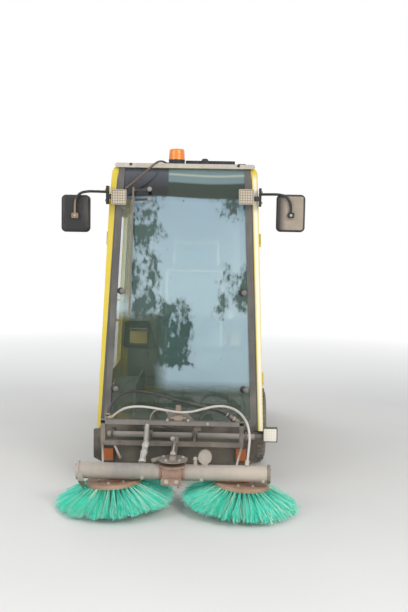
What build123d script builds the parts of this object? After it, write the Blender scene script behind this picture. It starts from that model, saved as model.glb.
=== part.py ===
from build123d import *
import math
import os

os.makedirs("parts", exist_ok=True)

# Frame
# millimetres, +Z up from the ground, -Y forward, +X the machine's own left
cab_front = -790.0
cab_back = 210.0
pivot_y = 470.0
front_axle_y = -220.0
rear_axle_y = 1160.0
rear_end = 1615.0
side_reach = 600.0

# Wheels
tyre_r = 250.0
tyre_w = 200.0
tyre_outer_x = 553.0
rim_r = 130.0
axle_z = 250.0
axle_r = 38.0
spindle_r = 25.0
spindle_end = 450.0
arch_r = 290.0
bore_gap = 0.05

# Cab section seen from the front, and its walls
cab_bottom_z = 335.0
cab_bottom_x = 512.0
cab_top_z = 1945.0
cab_top_x = 443.0
cab_corner_r = 45.0
screen_top_z = 1932.0
cab_wall = 28.0
cab_lean = (cab_bottom_x - cab_top_x) / (cab_top_z - cab_bottom_z)
glass_t = 5.0
seal_gap = 0.3
driver_x = 50.0

# Door outline seen from the side, and its hinge line
door_front_y = -680.0
door_back_y = 130.0
door_sill_z = 400.0
door_top_z = 1700.0
door_gap = 5.0
door_rail = 62.0
hinge_y = -686.0
hinge_out = 7.5
knuckle_r = 6.0
hinge_pin_r = 3.0
hinge_lows = (620, 1480)

# Brush gear
gear_x = -13.0
gear_y = -1330.0
brush_y = -1270.0
tube_z = 222.0
tube_r = 45.0
tube_left = 526.0
tube_right = -544.0
lift_y = -887.0
lift_z = 322.0
lift_r = 17.0
frame_y = -1080.0
frame_right = -447.0
frame_left = 383.0
square = 25.0
frame_low_z = 305.5
frame_high_z = 453.5
disc_z = 158.0
disc_r = 156.0
brush_tilt = 4.5
brush_tip_r = 330.0
brush_drop = 132.0
brush_spindle_r = 15.0

# Hopper and its tipping pins
hopper_nose = 380.0
hopper_nose_x = 210.0
hopper_shoulder = 560.0
hopper_back = 1560.0
hopper_floor = 800.0
hopper_roof = 1800.0
hopper_x = 500.0
hopper_wall = 12.0
tip_y = 1560.0
tip_z = 765.0
tip_pin_r = 12.0
gate_y = 1578.0
gate_z = 1822.0
gate_pin_r = 8.0
ram_foot = (1290.0, 400.0)
ram_eye = (1140.0, 760.0)
ram_slack = 8.5


# Basic forms
def span(side, near, far):
    return (near, far) if side > 0 else (-far, -near)


def block(x, y, z, mode=Mode.ADD):
    with Locations(((x[0] + x[1]) / 2, (y[0] + y[1]) / 2, (z[0] + z[1]) / 2)):
        Box(x[1] - x[0], y[1] - y[0], z[1] - z[0], mode=mode)


def rod(start, end, r, mode=Mode.ADD):
    start, end = Vector(*start), Vector(*end)
    with Locations(Plane(origin=start, z_dir=end - start)):
        Cylinder(r, (end - start).length, align=(Align.CENTER, Align.CENTER, Align.MIN), mode=mode)


def plate(plane, points, depth, r=0.0, mode=Mode.ADD):
    with BuildSketch(plane) as outline:
        with BuildLine():
            Polyline(*points, close=True)
        make_face()
        if r:
            fillet(outline.vertices(), r)
    extrude(to_extrude=outline.sketch, amount=depth, mode=mode)


def panel(plane, across, up, depth, r, mode=Mode.ADD):
    with BuildSketch(plane) as outline:
        with Locations(((across[0] + across[1]) / 2, (up[0] + up[1]) / 2)):
            RectangleRounded(across[1] - across[0], up[1] - up[0], r)
    extrude(to_extrude=outline.sketch, amount=depth, mode=mode)


def side_plane(x):
    return Plane(origin=(x, 0, 0), x_dir=(0, 1, 0), z_dir=(1, 0, 0))


def front_plane(y):
    return Plane(origin=(0, y, 0), x_dir=(1, 0, 0), z_dir=(0, -1, 0))


def floor_plane(z):
    return Plane(origin=(0, 0, z), x_dir=(1, 0, 0), z_dir=(0, 0, 1))


def bend_radii(points):
    runs = [Vector(*b) - Vector(*a) for a, b in zip(points, points[1:])]
    radii = []
    for before, after in zip(runs, runs[1:]):
        half_turn = math.radians(before.get_angle(after)) / 2
        radii.append(0.45 * min(before.length, after.length) / math.tan(half_turn))
    return radii


def tube(points, r):
    with BuildLine() as route:
        FilletPolyline(*points, radius=bend_radii(points))
    with BuildSketch(Plane(origin=route.line @ 0, z_dir=route.line % 0)) as section:
        Circle(r)
    sweep(sections=section.sketch, path=route.line)
    return sum(edge.length for edge in route.edges())


def save(part, name):
    part.part.label = name
    export_step(part.part, "parts/" + name + ".step")


# Cab outlines: half width at a height, front section, side outline, windscreen and door
def cab_x(z):
    return cab_bottom_x - (z - cab_bottom_z) * cab_lean


def cab_section(y, depth, inset, mode=Mode.ADD):
    low, high = cab_bottom_z + inset, cab_top_z - inset
    low_x, high_x = cab_x(low) - inset, cab_x(high) - inset
    with BuildSketch(front_plane(y)) as outline:
        with BuildLine():
            Polyline((-low_x, low), (low_x, low), (high_x, high), (-high_x, high), close=True)
        make_face()
        corners = outline.vertices().sort_by(Axis.Y)
        fillet(corners[-2:], cab_corner_r - inset * 0.6)
    extrude(to_extrude=outline.sketch, amount=depth, mode=mode)


def cab_side(inset, mode=Mode.ADD):
    foot = (cab_front + inset, cab_bottom_z + inset)
    bend = (cab_front + 42 + inset, 1640)
    brow = (cab_front + 130 + inset, cab_top_z - inset)
    with BuildSketch(side_plane(-side_reach)) as outline:
        with BuildLine():
            Line(foot, bend)
            TangentArc(bend, brow, tangent=(42, 1305))
            Polyline(brow, (cab_back - inset, cab_top_z - inset), (cab_back - inset, foot[1]), foot)
        make_face()
    extrude(to_extrude=outline.sketch, amount=2 * side_reach, mode=mode)


def screen_outline(grow, top, mode=Mode.ADD):
    points = [(441 + grow, 385 - grow), (379 + grow, 1738), (374 + grow, top)]
    mirrored = [(-x, z) for x, z in reversed(points)]
    with BuildSketch(front_plane(-500)) as outline:
        with BuildLine():
            Polyline(*points, *mirrored, close=True)
        make_face()
        fillet(outline.vertices().sort_by(Axis.Y)[:2], 30 + grow * 0.4)
    extrude(to_extrude=outline.sketch, amount=400, mode=mode)


def door_outline(x, depth, inset, r, mode=Mode.ADD):
    points = [
        (door_front_y + inset, door_sill_z + inset),
        (-540 - inset * 0.4, door_sill_z + inset),
        (-400 - inset * 0.2, 565 + inset),
        (door_back_y - inset, 565 + inset),
        (door_back_y - inset, door_top_z - inset),
        (door_front_y + inset, door_top_z - inset),
    ]
    plate(side_plane(x), points, depth, r, mode)


def cab_form(inset):
    with BuildPart() as form:
        cab_section(cab_back - inset, 1100, inset)
        cab_side(inset, Mode.INTERSECT)
    return form.part


def front_skin(outer, inner):
    with BuildPart() as skin:
        cab_side(outer)
        cab_side(inner, Mode.SUBTRACT)
    return skin.part


# Front chassis: box rails, cross members, axle tube with spindles, pivot yoke, implement shaft
rail_in, rail_out = 180, 240
rail_low, rail_high = 285, 334.7
yoke_plates = ((280, 302), (378, 400))
yoke_r = 75
pivot_pin_r = 22
with BuildPart() as front_chassis:
    for side in (-1, 1):
        rail_start = min(side * rail_in, side * rail_out)
        rail_profile = [(-740, 306), (-690, rail_low), (300, rail_low), (300, rail_high), (-740, rail_high)]
        plate(side_plane(rail_start), rail_profile, rail_out - rail_in)
        rod((side * 200, front_axle_y, axle_z), (side * 330, front_axle_y, axle_z), axle_r)
        rod((side * 330, front_axle_y, axle_z), (side * spindle_end, front_axle_y, axle_z), spindle_r)
        saddle = [
            (front_axle_y - 65, 300), (front_axle_y - 34, 240), (front_axle_y + 34, 240), (front_axle_y + 65, 300),
        ]
        plate(side_plane(min(side * 190, side * 230)), saddle, 40)
        lug = [(lift_y - 26, 306), (-700, 303), (-700, 333), (lift_y - 10, 333)]
        plate(side_plane(min(side * 398, side * 410)), lug, 12)
        rod((side * 398, lift_y, lift_z), (side * 410, lift_y, lift_z), 26)
        block(span(side, 200, 240), (-786, -740), (250, 334))
    rod((-240, front_axle_y, axle_z), (240, front_axle_y, axle_z), axle_r)
    block((-420, 420), (-760, -700), (300, 334))
    block((-240, 240), (190, 240), (rail_low, rail_high))
    block((-240, 240), (240, 300), (280, 400))
    rod((-433, lift_y, lift_z), (492, lift_y, lift_z), lift_r)
    for low, high in yoke_plates:
        jaw = [(-150, 295), (150, 295), (yoke_r - 4, pivot_y + 20), (4 - yoke_r, pivot_y + 20)]
        plate(floor_plane(low), jaw, high - low)
        rod((0, pivot_y, low), (0, pivot_y, high), yoke_r)
    rod((0, pivot_y, 250), (0, pivot_y, 450), pivot_pin_r + bore_gap, mode=Mode.SUBTRACT)
save(front_chassis, "front_chassis")

# Wheels: a dished rim with round vents and a tyre, four of each
# place, side, axle position
wheel_places = (
    ("front_left", 1, front_axle_y),
    ("front_right", -1, front_axle_y),
    ("rear_left", 1, rear_axle_y),
    ("rear_right", -1, rear_axle_y),
)
wheel_section = Plane(origin=(0, 0, 0), x_dir=(1, 0, 0), z_dir=(0, -1, 0))
wheel_face = Plane(origin=(-40, 0, 0), x_dir=(0, 1, 0), z_dir=(1, 0, 0))
bead_x = 75
vent_count = 6
with BuildPart() as rim:
    with BuildSketch(wheel_section):
        with BuildLine():
            Polyline(
                (-bead_x, 118), (-bead_x, rim_r), (bead_x, rim_r), (bead_x, 118), (24, 106), (12, 92), (26, 58),
                (50, 50), (50, spindle_r + bore_gap), (-70, spindle_r + bore_gap), (-70, 42), (6, 50), (-4, 92),
                (4, 112),
                close=True,
            )
        make_face()
    revolve(axis=Axis.X)
    with BuildSketch(wheel_face) as vents:
        with PolarLocations(80, vent_count):
            Circle(10)
    extrude(to_extrude=vents.sketch, amount=100, mode=Mode.SUBTRACT)
with BuildPart() as tyre:
    with BuildSketch(wheel_section):
        with BuildLine():
            Polyline(
                (-bead_x, rim_r), (-94, 160), (-100, 195), (-90, 238), (-60, tyre_r),
                (60, tyre_r), (90, 238), (100, 195), (94, 160), (bead_x, rim_r),
                close=True,
            )
        make_face()
    revolve(axis=Axis.X)
for place, side, y in wheel_places:
    hub = (side * (tyre_outer_x - tyre_w / 2), y, axle_z)
    facing = (0, 0, 0 if side > 0 else 180)
    for name, wheel_part in (("rim_", rim), ("tyre_", tyre)):
        with BuildPart() as placed:
            add(Location(hub, facing) * wheel_part.part)
        save(placed, name + place)

# Cab shell: skin with every opening cut, wheel arches and the cab's half of each door hinge
cab_outside = cab_form(0)
cab_inside = cab_form(cab_wall)
with BuildPart() as cab_frame:
    add(cab_outside)
    add(cab_inside, mode=Mode.SUBTRACT)
    screen_outline(30, screen_top_z + seal_gap, Mode.SUBTRACT)
    door_outline(-side_reach, 2 * side_reach, 0, 24, Mode.SUBTRACT)
    rear_opening = [(-440, 420), (440, 420), (395, 1860), (-395, 1860)]
    plate(front_plane(cab_back + 10), rear_opening, 80, 40, Mode.SUBTRACT)
    for side in (-1, 1):
        arch = ((side * 330, front_axle_y, axle_z), (side * side_reach, front_axle_y, axle_z))
        rod(*arch, arch_r, Mode.SUBTRACT)
        for low in hinge_lows:
            out = cab_x(low + 30) + hinge_out
            base = (side * (cab_x(low - 20) + hinge_out), hinge_y, low - 20)
            knuckle = (side * (cab_x(low - 2) + hinge_out), hinge_y, low - 2)
            pin = (side * (cab_x(low + 62) + hinge_out), hinge_y, low + 62)
            rod(base, knuckle, knuckle_r)
            rod(base, pin, hinge_pin_r)
            block(span(side, out - 22, out + 2), (hinge_y - 34, hinge_y - 4), (low - 20, low - 4))
save(cab_frame, "cab_frame")

# Windscreen held in a wide rubber, both curving back into the roof
glass_skin = front_skin(2, 2 + glass_t)
slot_skin = front_skin(2 - seal_gap, 2 + glass_t + seal_gap)
rubber_skin = front_skin(-4, 14)
with BuildPart() as glass_slot:
    screen_outline(seal_gap, screen_top_z + 5)
    add(slot_skin, mode=Mode.INTERSECT)
with BuildPart() as windscreen_gasket:
    screen_outline(29.5, screen_top_z)
    screen_outline(-8, screen_top_z + 5, Mode.SUBTRACT)
    add(rubber_skin, mode=Mode.INTERSECT)
    add(glass_slot.part, mode=Mode.SUBTRACT)
save(windscreen_gasket, "windscreen_gasket")
with BuildPart() as windscreen:
    screen_outline(0, screen_top_z)
    add(glass_skin, mode=Mode.INTERSECT)
save(windscreen, "windscreen")

# Tinted sun band behind the top of the glass
visor_skin = front_skin(16, 20)
with BuildPart() as sun_visor:
    with BuildSketch(front_plane(-500)) as band:
        with BuildLine():
            Polyline((-346, 1770), (-348, 1740))
            ThreePointArc((-348, 1740), (0, 1728), (348, 1740))
            Polyline((348, 1740), (342, 1922), (-342, 1922), (-346, 1770))
        make_face()
    extrude(to_extrude=band.sketch, amount=400)
    add(visor_skin, mode=Mode.INTERSECT)
save(sun_visor, "sun_visor")

# Doors: a slanted frame round a large pane, hinge straps in front, handle behind
handle_lows = (900, 1044)
handle_z = 980
for name, side in (("left", 1), ("right", -1)):
    with BuildPart() as door:
        cab_section(cab_back, 1100, 0)
        cab_section(cab_back, 1100, cab_wall, Mode.SUBTRACT)
        door_outline(side * 300, side * 300, door_gap, 20, Mode.INTERSECT)
        door_outline(side * 300, side * 300, door_rail, 36, Mode.SUBTRACT)
        for low in hinge_lows:
            out = cab_x(low + 30) + hinge_out
            foot = (side * (cab_x(low) + hinge_out), hinge_y, low)
            head = (side * (cab_x(low + 60) + hinge_out), hinge_y, low + 60)
            below = (side * (cab_x(low - 30) + hinge_out), hinge_y, low - 30)
            above = (side * (cab_x(low + 90) + hinge_out), hinge_y, low + 90)
            block(span(side, out - 6, out + 4), (hinge_y, hinge_y + 46), (low + 4, low + 56))
            block(span(side, out - 24, out - 5), (hinge_y + 12, hinge_y + 46), (low + 4, low + 56))
            rod(foot, head, knuckle_r)
            rod(below, above, hinge_pin_r + bore_gap, Mode.SUBTRACT)
        grip = cab_x(handle_z)
        for low in handle_lows:
            block(span(side, grip - 6, grip + 34), (84, 104), (low, low + 16))
        block(span(side, grip + 22, grip + 34), (84, 104), (handle_lows[0], handle_lows[1] + 16))
    save(door, "door_" + name)
    with BuildPart() as door_glass:
        cab_section(cab_back, 1100, 12)
        cab_section(cab_back, 1100, 12 + glass_t, Mode.SUBTRACT)
        door_outline(side * 300, side * 300, door_rail + seal_gap, 36 - seal_gap, Mode.INTERSECT)
    save(door_glass, "door_glass_" + name)

# Rear wall with a tall window and two low ones beside the seat, each low one in a black frame
# left and right edge of each low window
low_windows = ((-420, -290), (204, 387))
window_low, window_high = 728, 846
tall_window = [(-385, 930), (385, 930), (350, 1800), (-350, 1800)]
frame_shapes = (
    [(-462, 700), (-227, 700), (-273, 893), (-454, 893)],
    [(129, 700), (462, 700), (454, 893), (184, 893)],
)
wall_y = cab_back - 4
wall_t = 24
with BuildPart() as rear_wall:
    plate(front_plane(wall_y), [(-439, 421), (439, 421), (394, 1859), (-394, 1859)], wall_t, 39)
    plate(front_plane(cab_back + 10), tall_window, 60, 40, Mode.SUBTRACT)
    for left, right in low_windows:
        panel(front_plane(cab_back + 10), (left, right), (window_low, window_high), 60, 12, Mode.SUBTRACT)
save(rear_wall, "rear_wall")

with BuildPart() as rear_glass:
    inner = [(x - math.copysign(seal_gap, x), z + (seal_gap if z < 1000 else -seal_gap)) for x, z in tall_window]
    plate(front_plane(cab_back - 12), inner, glass_t, 40 - seal_gap)
    for left, right in low_windows:
        across = (left + seal_gap, right - seal_gap)
        up = (window_low + seal_gap, window_high - seal_gap)
        panel(front_plane(cab_back - 12), across, up, glass_t, 12 - seal_gap)
save(rear_glass, "rear_glass")

with BuildPart() as low_frames:
    for shape in frame_shapes:
        plate(front_plane(wall_y - wall_t), shape, 16, 14)
    for left, right in low_windows:
        panel(front_plane(cab_back), (left, right), (window_low, window_high), 60, 12, Mode.SUBTRACT)
save(low_frames, "low_frames")

# Floor with the two inner wheel arches
floor_z = (363.3, 380)
floor_x = 318
with BuildPart() as cab_floor:
    block((-floor_x, floor_x), (-745, 180), floor_z)
    for side in (-1, 1):
        block(span(side, 300, floor_x), (-540, 100), (floor_z[0], 560))
        rod((side * 300, front_axle_y, axle_z), (side * 462, front_axle_y, axle_z), arch_r + 16)
        outer = ((side * floor_x, front_axle_y, axle_z), (side * 500, front_axle_y, axle_z))
        rod(*outer, arch_r + 1, Mode.SUBTRACT)
    block((-side_reach, side_reach), (-800, 300), (-100, floor_z[0]), Mode.SUBTRACT)
save(cab_floor, "cab_floor")

# Roof cap with soft edges and a brow over the windscreen, and on it the hatch, a low strip and a small dome
roof_top = 1961
roof_bottom = 1945.3
brow_y = -690
brow_t = 13
with BuildPart() as roof:
    with BuildSketch(front_plane(cab_back)) as cap:
        with BuildLine():
            Polyline((-429, roof_bottom), (429, roof_bottom), (426, roof_top), (-426, roof_top), close=True)
        make_face()
        fillet(cap.vertices().group_by(Axis.Y)[-1], 15)
    extrude(amount=cab_back - brow_y)
    front_edge = roof.faces().sort_by(Axis.Y)[0].edges().filter_by(Axis.X).sort_by(Axis.Z)[-1]
    fillet(front_edge, 7)
    block((-424, 424), (brow_y, brow_y + brow_t), (1934, roof_bottom + 1))
save(roof, "roof")

hatch_bottom = roof_top + seal_gap
dome_x, dome_y = 119, -510
with BuildPart() as roof_hatch:
    panel(floor_plane(hatch_bottom), (-5, 310), (-470, -170), 36, 24)
    panel(floor_plane(hatch_bottom + 28), (15, 290), (-450, -190), 20, 14, Mode.SUBTRACT)
    for x in (85, 152, 219):
        panel(floor_plane(hatch_bottom + 26), (x - 6, x + 6), (-440, -200), 7, 4)
    panel(floor_plane(hatch_bottom), (330, 378), (-470, -190), 20, 10)
    rod((dome_x, dome_y, hatch_bottom), (dome_x, dome_y, hatch_bottom + 46), 22)
    fillet(roof_hatch.edges().group_by(Axis.Z)[-1], 14)
save(roof_hatch, "roof_hatch")

# Beacon: a round foot with a collar and a tapered lens with a rounded top
beacon_x, beacon_y = -59, -500
beacon_section = Plane(origin=(beacon_x, beacon_y, 0), x_dir=(1, 0, 0), z_dir=(0, -1, 0))
beacon_axis = Axis((beacon_x, beacon_y, 0), (0, 0, 1))
with BuildPart() as beacon_base:
    with BuildSketch(beacon_section):
        with BuildLine():
            Polyline(
                (0, hatch_bottom), (56, hatch_bottom), (56, 1974), (50, 1979), (52, 1998), (0, 1998),
                close=True,
            )
        make_face()
    revolve(axis=beacon_axis)
    block((beacon_x - 72, beacon_x - 48), (beacon_y - 11, beacon_y + 11), (hatch_bottom, 1980))
save(beacon_base, "beacon_base")
with BuildPart() as beacon_lens:
    with BuildSketch(beacon_section):
        with BuildLine():
            Polyline((0, 1998), (51, 1998), (47, 2054))
            RadiusArc((47, 2054), (35, 2066), -12)
            Polyline((35, 2066), (0, 2066), (0, 1998))
        make_face()
    revolve(axis=beacon_axis)
save(beacon_lens, "beacon_lens")

# Corrugated conduit from the beacon over the roof edge down to the right work lamp
conduit_r = 6
conduit_route = [
    (-122, -512, 1972), (-124, -570, 1973), (-142, -650, 1977), (-168, -718, 1966), (-204, -766, 1928),
    (-256, -790, 1878), (-308, -803, 1830), (-346, -812, 1800),
]
with BuildPart() as beacon_conduit:
    conduit_length = tube(conduit_route, conduit_r)
save(beacon_conduit, "beacon_conduit")
print("conduit length", round(conduit_length), "radii", [round(r) for r in bend_radii(conduit_route)])

# Seat: suspension box, cushion, curved back, wide headrest and two armrests
seat_front, seat_rear = -450, 30
with BuildPart() as seat_base:
    panel(floor_plane(floor_z[1] + seal_gap), (driver_x - 160, driver_x + 160), (-390, 0), 120, 20)
    panel(floor_plane(500), (driver_x - 130, driver_x + 130), (-360, -30), 90, 20)
    panel(floor_plane(590), (driver_x - 180, driver_x + 180), (-410, 0), 30, 20)
    for side in (-1, 1):
        block((driver_x + side * 246 - 14, driver_x + side * 246 + 14), (-40, 10), (620, 960))
        block((driver_x + side * 213 - 47, driver_x + side * 213 + 47), (-40, 10), (602, 620))
save(seat_base, "seat_base")
with BuildPart() as seat_pads:
    with BuildSketch(side_plane(driver_x - 215)) as cushion:
        with BuildLine():
            Polyline((seat_rear, 620.3), (seat_front + 30, 620.3), (seat_front, 660), (seat_front + 10, 720))
            ThreePointArc((seat_front + 10, 720), (-300, 738), (-60, 706))
            Polyline((-60, 706), (seat_rear, 706), (seat_rear, 620.3))
        make_face()
        fillet(cushion.vertices().sort_by(Axis.X)[:3], 14)
    extrude(to_extrude=cushion.sketch, amount=430)
    with BuildSketch(side_plane(driver_x - 218)) as back:
        with BuildLine():
            ThreePointArc((-52, 706), (-14, 980), (36, 1305))
            Line((36, 1305), (104, 1298))
            ThreePointArc((104, 1298), (72, 1000), (48, 706))
            Line((48, 706), (-52, 706))
        make_face()
        fillet(back.vertices(), 22)
    extrude(to_extrude=back.sketch, amount=436)
    headrest = [(40, 1280), (26, 1340), (52, 1496), (108, 1500), (104, 1280)]
    plate(side_plane(driver_x - 166), headrest, 350, 20)
    for side in (-1, 1):
        middle = driver_x + side * 246
        panel(side_plane(middle - 28), (-340, -20), (960.3, 1012), 56, 22)
save(seat_pads, "seat_pads")

# Steering column on its foot with a display pod, pedals and the wheel
wheel_hub = Vector(driver_x, -486, 960)
wheel_axis = Vector(0, 140, 430).normalized()
column_foot = Vector(driver_x, -640, 500)
column_top = Vector(driver_x, -500, 930)
with BuildPart() as console:
    foot_shape = [(-700, floor_z[1] + seal_gap), (-560, floor_z[1] + seal_gap), (-600, 560), (-690, 560)]
    plate(side_plane(driver_x - 80), foot_shape, 160, 12)
    rod(column_foot, column_top, 32)
    pod_shape = [(-700, 905), (-590, 880), (-560, 930), (-610, 985), (-690, 975)]
    plate(side_plane(driver_x - 110), pod_shape, 220, 14)
    rod((driver_x, -640, 900), (driver_x, -585, 700), 16)
    for x in (driver_x - 175, driver_x + 175):
        pedal_shape = [(-690, floor_z[1] + seal_gap), (-650, floor_z[1] + seal_gap), (-600, 480), (-612, 486)]
        plate(side_plane(x - 35), pedal_shape, 70)
save(console, "console")
with BuildPart() as steering_wheel:
    with Locations(Plane(origin=wheel_hub, z_dir=wheel_axis)):
        Torus(170, 12)
        Cylinder(36, 24)
        with PolarLocations(0, 3):
            with Locations((92, 0, 0)):
                Box(150, 24, 9)
save(steering_wheel, "steering_wheel")

# Mirrors: a deep housing with a softened back, the bent arm that clamps onto it, and the pillar bracket
# side, bracket's inner face, bottom of the housing
mirror_places = (
    (-1, -468, 1534),
    (1, 454, 1556),
)
mirror_near, mirror_far = 556, 726
mirror_tall = 222
mirror_face_y = -812
mirror_back_y = -862
arm_y = -874
arm_r = 8
with BuildPart() as mirror_arms:
    for side, bracket_x, low in mirror_places:
        across = span(side, mirror_near, mirror_far)
        panel(front_plane(mirror_face_y), across, (low, low + mirror_tall), mirror_face_y - mirror_back_y, 28)
    fillet(mirror_arms.edges().group_by(Axis.Y)[0], 22)
    for side, bracket_x, low in mirror_places:
        bracket = [(-790, 1705), (-735, 1705), (-722, 1815), (-790, 1815)]
        plate(side_plane(bracket_x), bracket, 14, 4)
        clamp = low + 106
        tube(
            [
                (side * 455, -774, 1778), (side * 508, -812, 1778), (side * 562, arm_y + 2, 1776),
                (side * 612, arm_y, 1766), (side * 638, arm_y, 1722), (side * 641, arm_y, clamp - 10),
            ],
            arm_r,
        )
        panel(front_plane(mirror_back_y + 4), (side * 640 - 20, side * 640 + 20), (clamp - 24, clamp + 8), 24, 8)
save(mirror_arms, "mirror_arms")
with BuildPart() as mirror_glasses:
    for side, bracket_x, low in mirror_places:
        across = span(side, mirror_near + 10, mirror_far - 10)
        panel(front_plane(mirror_face_y + 3.7), across, (low + 10, low + mirror_tall - 10), 3, 20)
save(mirror_glasses, "mirror_glasses")

# Square lamps: a finned housing with a raised rim, and a lens of small square reflectors behind it
# middle across, middle height, face position
lamp_places = (
    (-384, 1747, -838),
    (376, 1760, -838),
    (558, 301, -750),
)
lamp_half = 45
lens_half = 40
lens_t = 5
cell_pitch = 15
with BuildPart() as lamp_housings:
    for x, z, face_y in lamp_places:
        across, up = (x - lamp_half, x + lamp_half), (z - lamp_half, z + lamp_half)
        panel(front_plane(face_y + 34), across, up, 38, 6)
        lens_x = (x - lens_half, x + lens_half)
        panel(front_plane(face_y + 4), lens_x, (z - lens_half, z + lens_half), 20, 4, Mode.SUBTRACT)
        for fin in (-27, -9, 9, 27):
            block((x + fin - 4, x + fin + 4), (face_y + 18, face_y + 40), (z - 60, z + 60), Mode.SUBTRACT)
    for side, x in ((-1, -384), (1, 376)):
        block(span(side, abs(x) + 40, 452), (-815, -805), (1735, 1765))
    block((420.3, 560), (-732, -716), (302, 330))
save(lamp_housings, "lamp_housings")
with BuildPart() as lamp_lenses:
    for x, z, face_y in lamp_places:
        across, up = (x - lens_half, x + lens_half), (z - lens_half, z + lens_half)
        panel(front_plane(face_y + 4), across, up, lens_t, 4)
        with BuildSketch(front_plane(face_y + 4 - lens_t)) as cells:
            with Locations((x, z)):
                with GridLocations(cell_pitch, cell_pitch, 5, 5):
                    Rectangle(11, 11)
        extrude(to_extrude=cells.sketch, amount=2)
save(lamp_lenses, "lamp_lenses")

# Wiper: two spindles, two short links and an upright blade beside the right pillar
spindle_x = -210
blade_x = -302
spindle_heights = (1797, 1737)
with BuildPart() as wiper:
    for z in spindle_heights:
        rod((spindle_x, -802, z), (spindle_x, -738, z), 12)
        beam_low = z - 14
        arm = [(spindle_x, beam_low + 8), (spindle_x, z + 6), (blade_x, z + 2), (blade_x, beam_low)]
        plate(front_plane(-800), arm, 6)
    plate(front_plane(-799), [(-296, 1808), (-306, 1808), (-324, 1040), (-312, 1040)], 12)
save(wiper, "wiper")

# Front panel with a stepped middle, side wings that turn back, and hooded indicators
panel_back_y = cab_front + 3.7
with BuildPart() as front_panel:
    skirt = [(-529, 330), (-529, 150), (-440, 108), (390, 108), (478, 150), (478, 330)]
    plate(front_plane(panel_back_y), skirt, 18, 8)
    panel(front_plane(panel_back_y - 16), (-376, -60), (130, 318), 8, 14)
    panel(front_plane(panel_back_y - 16), (-20, 318), (130, 318), 8, 14)
    block((-456, 456), (panel_back_y - 18, panel_back_y - 9.7), (324, 360))
    for left, right in ((-529, -478), (430, 478)):
        panel(front_plane(panel_back_y - 16), (left, right), (165, 330), 12, 6)
    for x, z in ((-439, 175), (378, 190)):
        panel(front_plane(panel_back_y - 17), (x - 38, x + 38), (z - 44, z + 44), 12, 8)
        panel(front_plane(panel_back_y - 22), (x - 31, x + 31), (z - 37, z + 37), 20, 5, Mode.SUBTRACT)
    for side in (-1, 1):
        block(span(side, 393, 415), (-830, -780), (299, 340), Mode.SUBTRACT)
save(front_panel, "front_panel")
with BuildPart() as indicators:
    for x, z in ((-439, 175), (378, 190)):
        panel(front_plane(panel_back_y - 22), (x - 30.7, x + 30.7), (z - 36.7, z + 36.7), 12, 4.7)
save(indicators, "indicators")

# Brush gear frame: open square tubes, hanger arms on the shaft, draw arm with the upper kingpin plate
bar_y = (frame_y - square / 2, frame_y + square / 2)
high_bar = (frame_high_z - square, frame_high_z)
low_bar = (frame_low_z, frame_low_z + square)
tube_wall = 2.5
hanger_xs = (-182, 90)
hanger_t = 12
kingpin_top_r = 82
hose_white_route = [
    (-388, -1082, 464), (-344, -1092, 508), (-276, -1105, 537), (-188, -1116, 541), (-97, -1125, 529),
    (-8, -1131, 515), (72, -1137, 517), (148, -1146, 541), (222, -1158, 563), (298, -1172, 562),
    (362, -1190, 531), (402, -1214, 474), (413, -1246, 410), (408, -1282, 350), (400, -1318, 292),
]
hose_black_route = [
    (-412, -1080, 474), (-396, -1080, 533), (-350, -1080, 590), (-286, -1080, 623), (-206, -1080, 624),
    (-110, -1080, 603), (-2, -1080, 574), (104, -1080, 551), (200, -1080, 531), (256, -1080, 514),
    (300, -1080, 488),
]
loop_y = -1055
loop_pale_route = [
    (-164, loop_y, 446), (-161, loop_y, 474), (-141, loop_y, 503), (-105, loop_y, 516), (-69, loop_y, 503),
    (-49, loop_y, 474), (-46, loop_y, 446),
]
loop_dark_route = [
    (119, loop_y, 446), (126, loop_y, 478), (149, loop_y, 505), (187, loop_y, 517), (228, loop_y, 513),
    (266, loop_y, 498), (300, loop_y, 474), (322, loop_y, 450),
]
hose_white_r = 7
hose_black_r = 7.5
loop_pale_r = 5
loop_dark_r = 5.5


def ferrule(end, before, r, length):
    run = Vector(*end) - Vector(*before)
    rod(end, Vector(*end) + run.normalized() * length, r)


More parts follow.
